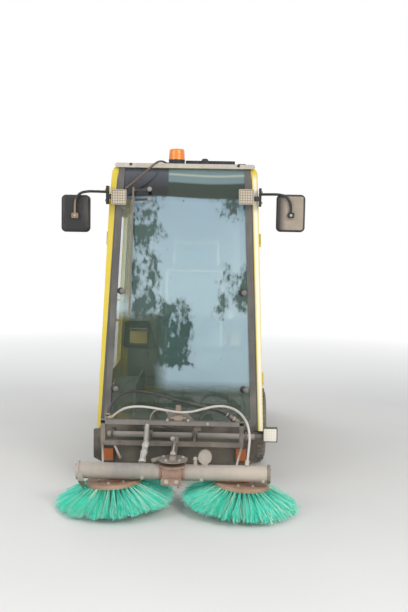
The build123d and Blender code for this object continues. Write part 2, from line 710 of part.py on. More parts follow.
with BuildPart() as lift_frame:
    block((frame_right, frame_left), bar_y, high_bar)
    block((frame_right + 12, frame_left - 12), bar_y, low_bar)
    for x in (frame_right, frame_left - square):
        block((x, x + square), bar_y, (low_bar[0], high_bar[1]))
    for x in hanger_xs:
        hanger = [(frame_y, 308), (lift_y, 298), (lift_y, 346), (frame_y, 329)]
        plate(side_plane(x), hanger, hanger_t)
        rod((x - 9, lift_y, lift_z), (x + hanger_t + 9, lift_y, lift_z), 28)
        rod((x - 30, lift_y, lift_z), (x + 40, lift_y, lift_z), lift_r + bore_gap, Mode.SUBTRACT)
    draw_arm = [
        (frame_y, low_bar[0]), (frame_y, low_bar[1]), (gear_y - 24, 316), (gear_y - 34, 298), (gear_y + 90, 298),
    ]
    plate(side_plane(gear_x - 17), draw_arm, 34)
    rod((gear_x, gear_y, 290), (gear_x, gear_y, 298), kingpin_top_r)
    rod((gear_x, gear_y, 268), (gear_x, gear_y, 326), 12)
    rod((-129, gear_y, 283), (-84, gear_y, 297), 12)
    gusset = [(-72, high_bar[0]), (117, high_bar[0]), (52, 500), (-54, 500)]
    plate(front_plane(frame_y + 17.5), gusset, 5)
    rod((-208, -1020, 402), (140, -1020, 402), 7)
    block((-204, -196), (-1068, -1020), (398, 430))
    block((94, 134), (-1068, -1014), (394, 430))
    block((gear_x - 20, gear_x + 20), (frame_y - 12, frame_y + 10), (low_bar[1], 362))
    for x in (frame_right, frame_left):
        pocket = ((x - 40, x + 40), (bar_y[0] + tube_wall, bar_y[1] - tube_wall))
        block(*pocket, (high_bar[0] + tube_wall, high_bar[1] - tube_wall), Mode.SUBTRACT)
    for x in (frame_right + 4, frame_left - square + 4):
        block((x, x + 17), (bar_y[0] - 1, bar_y[0] + 14), (high_bar[0] + 4, high_bar[1] - 4), Mode.SUBTRACT)
    ferrule(hose_white_route[0], hose_white_route[1], 10, 22)
    ferrule(hose_black_route[0], hose_black_route[1], 11, 26)
    ferrule(hose_black_route[-1], hose_black_route[-2], 11, 62)
    for route, r in ((loop_pale_route, loop_pale_r), (loop_dark_route, loop_dark_r)):
        for end, before in ((route[0], route[1]), (route[-1], route[-2])):
            ferrule(end, before, r + 3, 12)
            block((end[0] - 10, end[0] + 10), (-1068, loop_y + 9), (429, 441))
save(lift_frame, "lift_frame")

# Valve on the gusset, with its knob and side outlets
with BuildPart() as valve:
    panel(front_plane(frame_y + 12.4), (-22, 26), (457, 486), 22, 6)
    rod((2, frame_y - 1, 486), (2, frame_y - 1, 520), 9)
    rod((2, frame_y - 1, 516), (2, frame_y - 1, 545), 16)
    rod((-44, frame_y - 1, 471), (48, frame_y - 1, 471), 7)
save(valve, "valve")

# Cross tube with end plates, rusty kingpin bracket, tow plate, round cap on a foot and the brush spindles
# middle and outward tilt of each brush
brush_places = (
    ("left", 372, brush_tilt),
    ("right", -344, -brush_tilt),
)
carrier_y = brush_y - 6
with BuildPart() as cross_tube:
    rod((tube_right, gear_y, tube_z), (tube_left, gear_y, tube_z), tube_r)
    rod((tube_right, gear_y, tube_z), (tube_right + 14, gear_y, tube_z), 52)
    rod((tube_left - 14, gear_y, tube_z), (tube_left, gear_y, tube_z), 52)
    rod((gear_x, gear_y, 256), (gear_x, gear_y, 268), 76)
    bracket = [(gear_y - 58, 256), (gear_y - 58, 200), (gear_y - 46, 176), (gear_y - 20, 200), (gear_y - 20, 256)]
    plate(side_plane(-69), bracket, 105)
    block((-73, 37), (gear_y - 66, gear_y - 46), (165, 202))
    plate(side_plane(16), [(gear_y - 70, 182), (gear_y - 46, 182), (gear_y - 52, 150), (gear_y - 66, 150)], 14)
    rod((165, gear_y - 22, 312), (165, gear_y + 20, 312), 37)
    rod((165, gear_y - 22, 312), (165, gear_y - 17, 312), 31, Mode.SUBTRACT)
    block((149, 181), (gear_y - 14, gear_y + 14), (258, 296))
    rod((113, gear_y, 258), (113, gear_y, 298), 11)
    flap = [(-540, 228), (-514, 228), (-494, 165), (-497, 126), (-528, 166)]
    plate(front_plane(gear_y - 42), flap, 6)
    ferrule(hose_white_route[-1], hose_white_route[-2], 12, 30)
    for name, x, tilt in brush_places:
        slope = math.tan(math.radians(tilt))
        rod((x + slope * 40, brush_y, disc_z + 40), (x - slope * 22, brush_y, disc_z - 22), brush_spindle_r)
        rod((x + slope * 76, carrier_y, disc_z + 76), (x + slope * 14, carrier_y, disc_z + 14), 30)
save(cross_tube, "cross_tube")

# Strut between the frame and the cross tube: a bright rod and a coil in its sleeve
strut_top = Vector(-176, -1100, 432)
strut_waist = Vector(-176, -1182, 344)
strut_foot = Vector(-186, -1300, 262)
coil_turns = 6
with BuildPart() as strut:
    rod(strut_top, strut_waist, 11)
    rod(strut_waist, strut_foot, 17)
    for turn in range(coil_turns):
        at = strut_waist + (strut_foot - strut_waist) * ((turn + 0.3) / coil_turns)
        rod(at, at + (strut_foot - strut_waist) * (0.5 / coil_turns), 24)
save(strut, "strut")

# Brushes: a dished disc with a deep rim, and a flared skirt of tufts that parts at its lower edge
tuft_count = 30
brush_section = Plane(origin=(0, 0, 0), x_dir=(1, 0, 0), z_dir=(0, -1, 0))
with BuildPart() as disc:
    with BuildSketch(brush_section):
        with BuildLine():
            Polyline(
                (brush_spindle_r + bore_gap, 8), (44, 8), (58, -3), (112, -1), (disc_r - 8, 2), (disc_r, -2),
                (disc_r, -17), (disc_r - 6, -17), (disc_r - 6, -8), (50, -13), (40, -34),
                (brush_spindle_r + bore_gap, -34),
                close=True,
            )
        make_face()
    revolve(axis=Axis.Z)
with BuildPart() as skirt:
    with BuildSketch(brush_section):
        with BuildLine():
            Polyline(
                (95, -12), (disc_r - 6.3, -8.8), (disc_r - 6.3, -18), (brush_tip_r, -brush_drop + 12),
                (brush_tip_r - 8, -brush_drop), (205, -brush_drop),
                close=True,
            )
        make_face()
    revolve(axis=Axis.Z)
    with BuildSketch(Plane(origin=(0, 0, -brush_drop - 5), x_dir=(1, 0, 0), z_dir=(0, 0, 1))) as partings:
        with PolarLocations(brush_tip_r + 4, tuft_count):
            with BuildLine():
                Polyline((6, -11), (6, 11), (-62, 0), close=True)
            make_face()
    extrude(to_extrude=partings.sketch, amount=60, mode=Mode.SUBTRACT)
for name, x, tilt in brush_places:
    for label, piece in (("brush_disc_", disc), ("bristles_", skirt)):
        with BuildPart() as placed:
            add(Location((x, brush_y, disc_z), (0, tilt, 0)) * piece.part)
        save(placed, label + name)

# Hoses of the brush gear: white water hose, black pressure hose and two short loops
# name, its routes, its radii
hose_pieces = (
    ("hose_white", (hose_white_route,), (hose_white_r,)),
    ("hose_black", (hose_black_route,), (hose_black_r,)),
    ("hose_loops", (loop_pale_route, loop_dark_route), (loop_pale_r, loop_dark_r)),
)
for name, routes, radii in hose_pieces:
    with BuildPart() as hose:
        lengths = [tube(route, r) for route, r in zip(routes, radii)]
    save(hose, name)
    expected = sum(math.pi * r**2 * length for r, length in zip(radii, lengths))
    share = round(hose.part.volume / expected, 4)
    print(name, "lengths", [round(length) for length in lengths], "volume share", share)
    for route in routes:
        print("  bend radii", [round(r) for r in bend_radii(route)])

# Rear chassis: pivot neck and pin, rails, axle, bearers, hopper pedestals, bumper with the tow pin hole
rear_rail_in, rear_rail_out = 200, 260
rear_rail_z = (310, 390)
tow_r = 13
with BuildPart() as rear_chassis:
    rod((0, pivot_y, 308), (0, pivot_y, 372), 60)
    rod((0, pivot_y, 270), (0, pivot_y, 410), pivot_pin_r)
    plate(floor_plane(312), [(-52, pivot_y + 20), (52, pivot_y + 20), (130, 610), (-130, 610)], 56)
    block((-rear_rail_out, rear_rail_out), (600, 660), rear_rail_z)
    for side in (-1, 1):
        block(span(side, rear_rail_in, rear_rail_out), (600, rear_end - 30), rear_rail_z)
        rod((side * 200, rear_axle_y, axle_z), (side * 330, rear_axle_y, axle_z), axle_r)
        rod((side * 330, rear_axle_y, axle_z), (side * spindle_end, rear_axle_y, axle_z), spindle_r)
        saddle = [
            (rear_axle_y - 70, 315), (rear_axle_y - 34, 240), (rear_axle_y + 34, 240), (rear_axle_y + 70, 315),
        ]
        plate(side_plane(min(side * 205, side * 255)), saddle, 50)
        pedestal = [(1480, 385), (1582, 385), (tip_y + 27, tip_z), (tip_y - 27, tip_z)]
        plate(side_plane(min(side * 240, side * 260)), pedestal, 20)
        rod((side * 240, tip_y, tip_z), (side * 260, tip_y, tip_z), 27)
        rod((side * 150, tip_y, tip_z), (side * 300, tip_y, tip_z), tip_pin_r + bore_gap, Mode.SUBTRACT)
    rod((-240, rear_axle_y, axle_z), (240, rear_axle_y, axle_z), axle_r)
    panel(front_plane(rear_end), (-500, 500), (300, 420), 40, 18)
    rod((0, rear_end - 18, 280), (0, rear_end - 18, 440), tow_r, Mode.SUBTRACT)
    for y in (850, 1010):
        block((-rear_rail_in, rear_rail_in), (y, y + 20), (374, 394.7))
    for x in (-30, 12):
        clevis = [
            (ram_foot[0] - 45, 340), (ram_foot[0] + 45, 340), (ram_foot[0] + 24, 410), (ram_foot[0] - 24, 410),
        ]
        plate(side_plane(x), clevis, 18)
        rod((x, *ram_foot), (x + 18, *ram_foot), 27)
    block((-rear_rail_in, rear_rail_in), (ram_foot[0] - 45, ram_foot[0] + 45), (328, 344))
    rod((-60, *ram_foot), (60, *ram_foot), tip_pin_r + bore_gap, Mode.SUBTRACT)
save(rear_chassis, "rear_chassis")

with BuildPart() as engine_block:
    panel(floor_plane(395), (-190, 190), (830, 1045), 355, 14)
save(engine_block, "engine_block")

# Engine cover: side panels with louvres and arches over the rear wheels, slotted back panel, inner bulkheads
cover_x = (488, 500)
cover_y = (700, 1600)
cover_z = (430, 755)
fender_x = 556
slot_rows = range(6)
with BuildPart() as engine_hood:
    for side in (-1, 1):
        start = min(side * cover_x[0], side * cover_x[1])
        with BuildSketch(side_plane(start)) as cheek:
            with Locations(((cover_y[0] + cover_y[1]) / 2, (cover_z[0] + cover_z[1]) / 2)):
                RectangleRounded(cover_y[1] - cover_y[0], cover_z[1] - cover_z[0], 22)
            with Locations((rear_axle_y, axle_z)):
                Circle(arch_r, mode=Mode.SUBTRACT)
            with Locations((820, 640)):
                with GridLocations(0, 30, 1, 5):
                    SlotOverall(150, 12, mode=Mode.SUBTRACT)
        extrude(to_extrude=cheek.sketch, amount=cover_x[1] - cover_x[0])
        with BuildSketch(side_plane(min(side * cover_x[0], side * fender_x))) as fender:
            with Locations((rear_axle_y, axle_z)):
                Circle(arch_r + 5)
                Circle(arch_r, mode=Mode.SUBTRACT)
                with Locations((0, -170)):
                    Rectangle(4 * arch_r, 2 * arch_r + 120, mode=Mode.SUBTRACT)
        extrude(to_extrude=fender.sketch, amount=fender_x - cover_x[0])
        block(span(side, 262, 488), (1500, 1516), (395, 755))
        block(span(side, 262, 488), (cover_y[0], cover_y[0] + 12), (395, 755))
    panel(front_plane(cover_y[1]), (-500, 500), cover_z, 12, 22)
    with BuildSketch(front_plane(cover_y[1] + 10)) as grille:
        with Locations((0, 590)):
            with GridLocations(0, 38, 1, len(slot_rows)):
                SlotOverall(440, 20)
    extrude(to_extrude=grille.sketch, amount=40, mode=Mode.SUBTRACT)
save(engine_hood, "engine_hood")

# Suction head: a wide mouth near the ground that narrows into the upright pipe
mouth = (600, 120)
pipe = (240, 110)
mouth_wall = 10
pipe_top = 785
suction_y = 750
with BuildPart() as suction_hollow:
    with BuildSketch(Plane(origin=(0, suction_y, 190), x_dir=(1, 0, 0), z_dir=(0, 0, 1))):
        Rectangle(mouth[0] - 2 * mouth_wall, mouth[1] - 2 * mouth_wall)
    with BuildSketch(Plane(origin=(0, suction_y, 330), x_dir=(1, 0, 0), z_dir=(0, 0, 1))):
        Rectangle(pipe[0] - 2 * mouth_wall, pipe[1] - 18)
    loft()
    block((-290, 290), (suction_y - 50, suction_y + 50), (0, 190))
    block((-110, 110), (suction_y - 46, suction_y + 46), (330, 900))
with BuildPart() as suction_head:
    with BuildSketch(Plane(origin=(0, suction_y, 190), x_dir=(1, 0, 0), z_dir=(0, 0, 1))):
        Rectangle(*mouth)
    with BuildSketch(Plane(origin=(0, suction_y, 330), x_dir=(1, 0, 0), z_dir=(0, 0, 1))):
        Rectangle(*pipe)
    loft()
    block((-300, 300), (suction_y - 60, suction_y + 60), (60, 190))
    block((-300, 300), (suction_y - 60, suction_y - 50), (25, 60))
    for side in (-1, 1):
        block(span(side, 290, 300), (suction_y - 60, suction_y + 60), (25, 60))
    block((-120, 120), (suction_y - 55, suction_y + 55), (330, pipe_top))
    for z in (420, 520, 620, 720):
        block((-126, 126), (suction_y - 60, suction_y + 60), (z, z + 14))
    add(suction_hollow.part, mode=Mode.SUBTRACT)
save(suction_head, "suction_head")

with BuildPart() as rear_lamps:
    for side in (-1, 1):
        for low in (560, 612, 664):
            panel(front_plane(cover_y[1] + 12), span(side, 404, 470), (low, low + 48), 12, 10)
save(rear_lamps, "rear_lamps")

# Hopper: a hollow ribbed bin with its front corners cut back, open behind and over the suction pipe
bin_plan = [
    (-hopper_nose_x, hopper_nose), (hopper_nose_x, hopper_nose), (hopper_x, hopper_shoulder),
    (hopper_x, hopper_back), (-hopper_x, hopper_back), (-hopper_x, hopper_shoulder),
]
inner_x = hopper_x - hopper_wall
bin_inside = [
    (5 - hopper_nose_x, hopper_nose + 12), (hopper_nose_x - 5, hopper_nose + 12), (inner_x, hopper_shoulder + 7),
    (inner_x, hopper_back + 20), (-inner_x, hopper_back + 20), (-inner_x, hopper_shoulder + 7),
]
rib_ys = (700, 900, 1100, 1300, 1480)
inner_height = hopper_roof - hopper_floor - 2 * hopper_wall
with BuildPart() as hopper:
    plate(floor_plane(hopper_floor), bin_plan, hopper_roof - hopper_floor)
    fillet(hopper.edges().filter_by(Axis.Z).sort_by(Axis.Y)[:4], 24)
    fillet(hopper.edges().group_by(Axis.Z)[-1].filter_by(Axis.Y), 22)
    for side in (-1, 1):
        for y in rib_ys:
            panel(side_plane(side * (hopper_x + 10)), (y - 18, y + 18), (850, 1740), -side * 20, 8)
    plate(floor_plane(hopper_floor + hopper_wall), bin_inside, inner_height, 0, Mode.SUBTRACT)
    block((-125, 125), (690, 810), (790, 830), Mode.SUBTRACT)
    for side in (-1, 1):
        foot = [(1490, hopper_floor + 4), (tip_y, hopper_floor + 4), (tip_y + 10, tip_z), (tip_y - 24, tip_z)]
        plate(side_plane(min(side * 265, side * 290)), foot, 25)
        rod((side * 265, tip_y, tip_z), (side * 290, tip_y, tip_z), 27)
        rod((side * 200, tip_y, tip_z), (side * 300, tip_y, tip_z), tip_pin_r)
        block(span(side, 300, 330), (1530, 1560), (1790, gate_z))
        rod((side * 300, gate_y, gate_z), (side * 330, gate_y, gate_z), 14)
        block(span(side, 300, 330), (1545, 1580), (1808, 1836))
        rod((side * 285, gate_y, gate_z), (side * 345, gate_y, gate_z), gate_pin_r)
    for x in (-36, 18):
        block((x, x + 18), (ram_eye[0] - 26, ram_eye[0] + 26), (ram_eye[1], 802))
        rod((x, *ram_eye), (x + 18, *ram_eye), 26)
    rod((-40, *ram_eye), (40, *ram_eye), tip_pin_r)
save(hopper, "hopper")

# Tailgate: a ribbed plate on two top hinges, with two latches at its foot
with BuildPart() as hopper_door:
    panel(front_plane(1582), (-495, 495), (812, 1795), 20, 16)
    for z in (900, 1190, 1480):
        panel(front_plane(1596), (-440, 440), (z, z + 60), 16, 20)
    for side in (-1, 1):
        panel(front_plane(1604), span(side, 380, 420), (808, 866), 24, 8)
        for near, far in ((270, 296), (334, 360)):
            block(span(side, near, far), (1562, 1590), (1780, gate_z))
            rod((side * near, gate_y, gate_z), (side * far, gate_y, gate_z), 16)
        rod((side * 200, gate_y, gate_z), (side * 380, gate_y, gate_z), gate_pin_r + bore_gap, Mode.SUBTRACT)
save(hopper_door, "hopper_door")

# Tipping ram: barrel on its foot pin, rod whose eye hangs with play on the hopper's pin
foot_pin = Vector(0, *ram_foot)
eye_pin = Vector(0, *ram_eye)
along = (eye_pin - foot_pin).normalized()
ram_span = (eye_pin - foot_pin).length
barrel_r = 30
ram_rod_r = 18
barrel_end = ram_span - 44
eye_outer = 33
with BuildPart() as tip_barrel:
    rod(foot_pin - Vector(10, 0, 0), foot_pin + Vector(10, 0, 0), 24)
    rod(foot_pin - Vector(32, 0, 0), foot_pin + Vector(32, 0, 0), tip_pin_r)
    with Locations(Plane(origin=foot_pin, x_dir=(1, 0, 0), z_dir=along)):
        Box(20, 40, 44, align=(Align.CENTER, Align.CENTER, Align.MIN))
    rod(foot_pin + along * 36, foot_pin + along * barrel_end, barrel_r)
    rod(foot_pin + along * 48, foot_pin + along * (barrel_end + 5), ram_rod_r + seal_gap, Mode.SUBTRACT)
save(tip_barrel, "tip_barrel")
with BuildPart() as tip_rod:
    rod(foot_pin + along * 52, eye_pin - along * 26, ram_rod_r)
    rod(eye_pin - Vector(14, 0, 0), eye_pin + Vector(14, 0, 0), eye_outer)
    rod(eye_pin - Vector(20, 0, 0), eye_pin + Vector(20, 0, 0), tip_pin_r + ram_slack, Mode.SUBTRACT)
save(tip_rod, "tip_rod")
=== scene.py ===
import bmesh
import bpy
import math
from mathutils import Matrix, Vector, noise


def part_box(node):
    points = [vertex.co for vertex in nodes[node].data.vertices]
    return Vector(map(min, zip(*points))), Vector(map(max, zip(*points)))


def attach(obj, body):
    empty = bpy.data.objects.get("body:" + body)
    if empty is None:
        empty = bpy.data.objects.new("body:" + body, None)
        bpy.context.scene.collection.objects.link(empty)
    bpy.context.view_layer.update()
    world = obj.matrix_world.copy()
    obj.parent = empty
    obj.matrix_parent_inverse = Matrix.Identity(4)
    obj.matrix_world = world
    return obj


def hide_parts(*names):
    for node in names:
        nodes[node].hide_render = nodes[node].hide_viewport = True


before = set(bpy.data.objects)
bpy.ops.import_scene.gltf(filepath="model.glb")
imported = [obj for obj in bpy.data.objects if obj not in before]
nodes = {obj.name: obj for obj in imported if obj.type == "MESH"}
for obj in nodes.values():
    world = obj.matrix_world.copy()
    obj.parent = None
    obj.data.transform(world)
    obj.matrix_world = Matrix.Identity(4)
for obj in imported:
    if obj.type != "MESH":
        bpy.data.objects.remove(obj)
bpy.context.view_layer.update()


# Camera
# Eye height of a standing person about four metres in front of the brushes, looking slightly down. Its lean and focal
# length were fitted to the upright lines of the machine.
def put(name, data):
    piece = bpy.data.objects.new(name, data)
    bpy.context.collection.objects.link(piece)
    return piece


eye = Vector((0.2285, -5.9197, 1.5593))
pitch, yaw, roll = (math.radians(angle) for angle in (5.12, 1.05, 1.03))
ahead = Vector((-math.sin(yaw) * math.cos(pitch), math.cos(yaw) * math.cos(pitch), -math.sin(pitch)))
level = Vector((math.cos(yaw), math.sin(yaw), 0))
above = level.cross(ahead)
rightward = level * math.cos(roll) + above * math.sin(roll)
upward = above * math.cos(roll) - level * math.sin(roll)
camera_data = bpy.data.cameras.new("camera")
camera_data.lens = 49.88
camera_data.sensor_width = 36
camera = put("camera", camera_data)
camera.matrix_world = Matrix.Translation(eye) @ Matrix((rightward, upward, -ahead)).transposed().to_4x4()
bpy.context.scene.camera = camera


# Hoses of the brush gear
# A white reinforced water hose, a black pressure hose and two short loops, of rubber and braided plastic, held in
# swaged fittings at both ends. The dirt of the road dulls them.

# An output of a node that takes sums and products, for shaders and for geometry.
class Wire:
    def __init__(self, graph, socket):
        self.graph, self.socket = graph, socket

    def math(self, operation, *others, clamp=False):
        return self.graph.node("ShaderNodeMath", {"operation": operation, "use_clamp": clamp}, (self, *others))[0]

    def __add__(self, other):
        return self.math("ADD", other)

    def __sub__(self, other):
        return self.math("SUBTRACT", other)

    def __mul__(self, other):
        return self.math("MULTIPLY", other)

    def __truediv__(self, other):
        return self.math("DIVIDE", other)

    def __rsub__(self, other):
        return self.graph.node("ShaderNodeMath", {"operation": "SUBTRACT"}, (other, self))[0]

    __radd__ = __add__
    __rmul__ = __mul__

    def clip(self):
        return self.math("ADD", 0.0, clamp=True)

    def over(self, start, end):
        return ((self - start) / (end - start)).clip()

    def within(self, start, full, fade, end):
        return self.over(start, full) * self.over(end, fade)

    def near(self, middle, full, end):
        return (self - middle).math("ABSOLUTE").over(end, full)


# A node tree whose nodes come from one method: type, settings, inputs in order, inputs by name.
class Graph:
    def __init__(self, tree):
        self.tree = tree

    def plug(self, socket, value):
        if isinstance(value, Wire):
            self.tree.links.new(value.socket, socket)
        elif socket.type == "RGBA":
            socket.default_value = (*value, 1.0)
        else:
            socket.default_value = value

    def node(self, kind, settings=None, inputs=(), named=None):
        made = self.tree.nodes.new(kind)
        for key, value in (settings or {}).items():
            setattr(made, key, value)
        for socket, value in zip(made.inputs, inputs):
            if value is not None:
                self.plug(socket, value)
        for key, value in (named or {}).items():
            self.plug(made.inputs[key], value)
        return [Wire(self, socket) for socket in made.outputs]


class Finish(Graph):
    def __init__(self, name, **constants):
        self.material = bpy.data.materials.new(name)
        self.material.use_nodes = True
        super().__init__(self.material.node_tree)
        self.shader = self.tree.nodes["Principled BSDF"]
        self.place = self.node("ShaderNodeTexCoord")[3]
        self.x, self.y, self.z = self.node("ShaderNodeSeparateXYZ", None, (self.place,))
        for key, value in constants.items():
            self.set(key.replace("_", " ").title(), value)

    def set(self, name, value):
        self.plug(self.shader.inputs[name], value)

    def noise(self, scale, detail=3.0, stretch=(1, 1, 1)):
        place = self.node("ShaderNodeMapping", None, (self.place, (0, 0, 0), (0, 0, 0), stretch))[0]
        return self.node("ShaderNodeTexNoise", None, (), {"Vector": place, "Scale": scale, "Detail": detail})[0]

    def mix(self, share, low, high):
        inputs = (share, None, None, None, None, None, low, high)
        return self.node("ShaderNodeMix", {"data_type": "RGBA"}, inputs)[2]

    def bump(self, height, distance, strength=0.6):
        inputs = {"Strength": strength, "Distance": distance, "Height": height}
        self.set("Normal", self.node("ShaderNodeBump", None, (), inputs)[0])

    def attribute(self, name):
        return self.node("ShaderNodeAttribute", {"attribute_name": name})[2]

    def cover(self, share, colour):
        below = Wire(self, self.shader.inputs["Base Color"].links[0].from_socket)
        self.set("Base Color", self.mix(share, below, colour))


# A colour worn in patches and streaks, with rust where asked, and road dust towards the ground.
def weathered(name, colour, worn, roughness, dust=0.3, wear=0.35, grain=0.0004, metallic=0.0, rust=0.0, coat=0.0):
    finish = Finish(name, metallic=metallic, coat_roughness=0.15)
    patches = finish.noise(7, 5)
    streaks = finish.noise(38, 4, (1, 1, 0.1))
    speckle = finish.noise(260, 2)
    worn_share = (patches * 0.9 + streaks * 0.6 + speckle * 0.25).over(1.02 - wear * 0.45, 1.25)
    finish.set("Base Color", finish.mix(worn_share * min(1.0, wear * 2), colour, worn))
    if rust:
        rusty = (finish.noise(16, 6) * 0.8 + speckle * 0.35).over(0.72 - rust * 0.3, 0.86)
        finish.cover(rusty * rust, finish.mix(speckle, (0.13, 0.05, 0.022), (0.30, 0.145, 0.06)))
    low_dust = (finish.z.over(0.85, 0.05) * patches.over(0.25, 0.7) + streaks.over(0.6, 0.9) * 0.3).clip()
    finish.cover(low_dust * dust, (0.43, 0.37, 0.30))
    finish.set("Roughness", (roughness + worn_share * 0.22 + low_dust * 0.25 * dust + speckle * 0.06).clip())
    finish.set("Coat Weight", coat)
    finish.bump(speckle * 0.6 + patches + worn_share * 0.8, grain)
    return finish


def bent_line(name, route, resolution):
    line = bpy.data.curves.new(name, "CURVE")
    line.dimensions = "3D"
    spline = line.splines.new("NURBS")
    spline.points.add(len(route) - 1)
    for point, (x, y, z) in zip(spline.points, route):
        point.co = (x / 1000, y / 1000, z / 1000, 1)
    spline.order_u = 3
    spline.use_endpoint_u = True
    spline.resolution_u = resolution
    return line


hose_pale = weathered("hose_white", (0.56, 0.53, 0.49), (0.36, 0.32, 0.27), 0.42, wear=0.5, grain=0.0003)
hose_dark = weathered("hose_black", (0.030, 0.029, 0.028), (0.10, 0.09, 0.08), 0.5, dust=0.35, grain=0.0003)
hose_tan = weathered("hose_tan", (0.30, 0.24, 0.185), (0.42, 0.36, 0.29), 0.5, grain=0.0003)
# name, finish, length and radius in metres, stiffness, CAD node, route in millimetres
hoses = (
    ("water_hose", hose_pale, 1.077, 0.007, "medium", "hose_white", (
        (-388, -1082, 464), (-344, -1092, 508), (-276, -1105, 537), (-188, -1116, 541), (-97, -1125, 529),
        (-8, -1131, 515), (72, -1137, 517), (148, -1146, 541), (222, -1158, 563), (298, -1172, 562),
        (362, -1190, 531), (402, -1214, 474), (413, -1246, 410), (408, -1282, 350), (400, -1318, 292),
    )),
    ("pressure_hose", hose_dark, 0.809, 0.0075, "stiff", "hose_black", (
        (-412, -1080, 474), (-396, -1080, 533), (-350, -1080, 590), (-286, -1080, 623), (-206, -1080, 624),
        (-110, -1080, 603), (-2, -1080, 574), (104, -1080, 551), (200, -1080, 531), (256, -1080, 514),
        (300, -1080, 488),
    )),
    ("tan_loop", hose_tan, 0.199, 0.005, "stiff", "hose_loops", (
        (-164, -1055, 446), (-161, -1055, 474), (-141, -1055, 503), (-105, -1055, 516), (-69, -1055, 503),
        (-49, -1055, 474), (-46, -1055, 446),
    )),
    ("dark_loop", hose_dark, 0.262, 0.0055, "stiff", "hose_loops", (
        (119, -1055, 446), (126, -1055, 478), (149, -1055, 505), (187, -1055, 517), (228, -1055, 513),
        (266, -1055, 498), (300, -1055, 474), (322, -1055, 450),
    )),
)
for name, finish, length, radius, stiffness, stands_for, route in hoses:
    line = bent_line(name, route, 16)
    line.bevel_depth = radius
    line.bevel_resolution = 3
    line.use_fill_caps = True
    line.materials.append(finish.material)
    hose = put(name, line)
    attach(hose, "brush_gear")
    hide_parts(stands_for)
    leaves = [value / 1000 for value in route[0]]
    2 * radius


# Floor
# Plain pale concrete under the machine that fades into the white backdrop some metres away.
fade_start, fade_end = 2.6, 7.0
concrete = Finish("floor_pale", roughness=0.9)
concrete.set("Base Color", concrete.mix(concrete.noise(1.3, 6), (0.74, 0.735, 0.72), (0.80, 0.795, 0.78)))
far_off = (concrete.x * concrete.x + concrete.y * concrete.y).math("POWER", 0.5).over(fade_start, fade_end)
seen = concrete.node("ShaderNodeLightPath")[0]
haze = concrete.node("ShaderNodeEmission", None, ((1, 1, 1), 1.0))[0]
shaded = Wire(concrete, concrete.shader.outputs[0])
blend = concrete.node("ShaderNodeMixShader", None, (far_off * seen, shaded, haze))[0]
concrete.plug(concrete.tree.nodes["Material Output"].inputs["Surface"], blend)
floor_mesh = bpy.data.meshes.new("floor")
floor_mesh.from_pydata([(-30, -30, 0), (30, -30, 0), (30, 30, 0), (-30, 30, 0)], [], [(0, 1, 2, 3)])
floor_mesh.materials.append(concrete.material)
put("floor", floor_mesh)


# Light
# A high soft sky, a warm key from the machine's left, a weak box on its other side, a rim and a low front box. The
# backdrop is white for the eye, in gloss and through glass, and lights nothing.
world = bpy.data.worlds.new("studio")
world.use_nodes = True
bpy.context.scene.world = world
sky = Graph(world.node_tree)
ray = sky.node("ShaderNodeLightPath")
open_view = (ray[0] + ray[3] + ray[6]).clip()
ambient, backdrop = world.node_tree.nodes["Background"], sky.node("ShaderNodeBackground", None, ((1, 1, 1), 1.0))[0]
ambient.inputs[0].default_value = (0.90, 0.94, 1.0, 1)
ambient.inputs[1].default_value = 0.56
sky_mix = sky.node("ShaderNodeMixShader", None, (open_view, Wire(sky, ambient.outputs[0]), backdrop))[0]
sky.plug(world.node_tree.nodes["World Output"].inputs["Surface"], sky_mix)
# place, target, size, power, colour, seen in gloss
lamps = (
    ((3.0, -4.8, 4.0), (0, -0.6, 0.9), 2.2, 138, (1.0, 0.96, 0.90), True),
    ((-3.4, -3.8, 2.8), (0, -0.4, 1.0), 1.8, 52, (1.0, 0.98, 0.95), True),
    ((-1.0, 4.5, 4.4), (0, 0.6, 1.0), 3.0, 96, (1.0, 0.98, 0.95), True),
    ((0.4, -4.8, 0.9), (0, -1.2, 0.35), 1.6, 30, (1.0, 0.97, 0.93), False),
)
for place, target, size, power, colour, in_gloss in lamps:
    light = bpy.data.lights.new("softbox", "AREA")
    light.size = size
    light.energy = power
    light.color = colour
    softbox = put("softbox", light)
    softbox.location = place
    softbox.visible_glossy = in_gloss
    softbox.rotation_euler = (Vector(target) - Vector(place)).to_track_quat("-Z", "Y").to_euler()
bpy.context.scene.view_settings.view_transform = "Standard"


# Chassis of both modules
# Welded box rails, axle tubes and pivot plates of black painted steel, dusty and rusting at the seams, with a bare
# implement shaft in front.
def dress(finish, *names):
    for name in names:
        node = nodes[name]
        node.data.materials.clear()
        node.data.materials.append(finish.material)


shaft_y, shaft_z, shaft_r, shaft_end = -0.887, 0.322, 0.0205, 0.45
chassis = weathered("chassis_steel", (0.030, 0.028, 0.027), (0.10, 0.085, 0.07), 0.6, dust=0.7, rust=0.35)
off_shaft = ((chassis.y - shaft_y).math("POWER", 2.0) + (chassis.z - shaft_z).math("POWER", 2.0)).math("POWER", 0.5)
bare = off_shaft.over(shaft_r + 0.001, shaft_r) * chassis.x.near(0.0, shaft_end, shaft_end + 0.01)
chassis.cover(bare * 0.8, (0.40, 0.36, 0.32))
dress(chassis, "front_chassis", "rear_chassis")


# Fasteners
# Hexagon bolts of pale zinc plate on washers, or dark with dirt, screwed home. One graph sets them at each place,
# along the direction that it faces.
def formed(name, form):
    mesh = bpy.data.meshes.new(name)
    form.to_mesh(mesh)
    form.free()
    return mesh


def pattern_of(name, draw):
    form = bmesh.new()
    draw(form)
    bmesh.ops.recalc_face_normals(form, faces=form.faces)
    return put(name, formed(name, form))


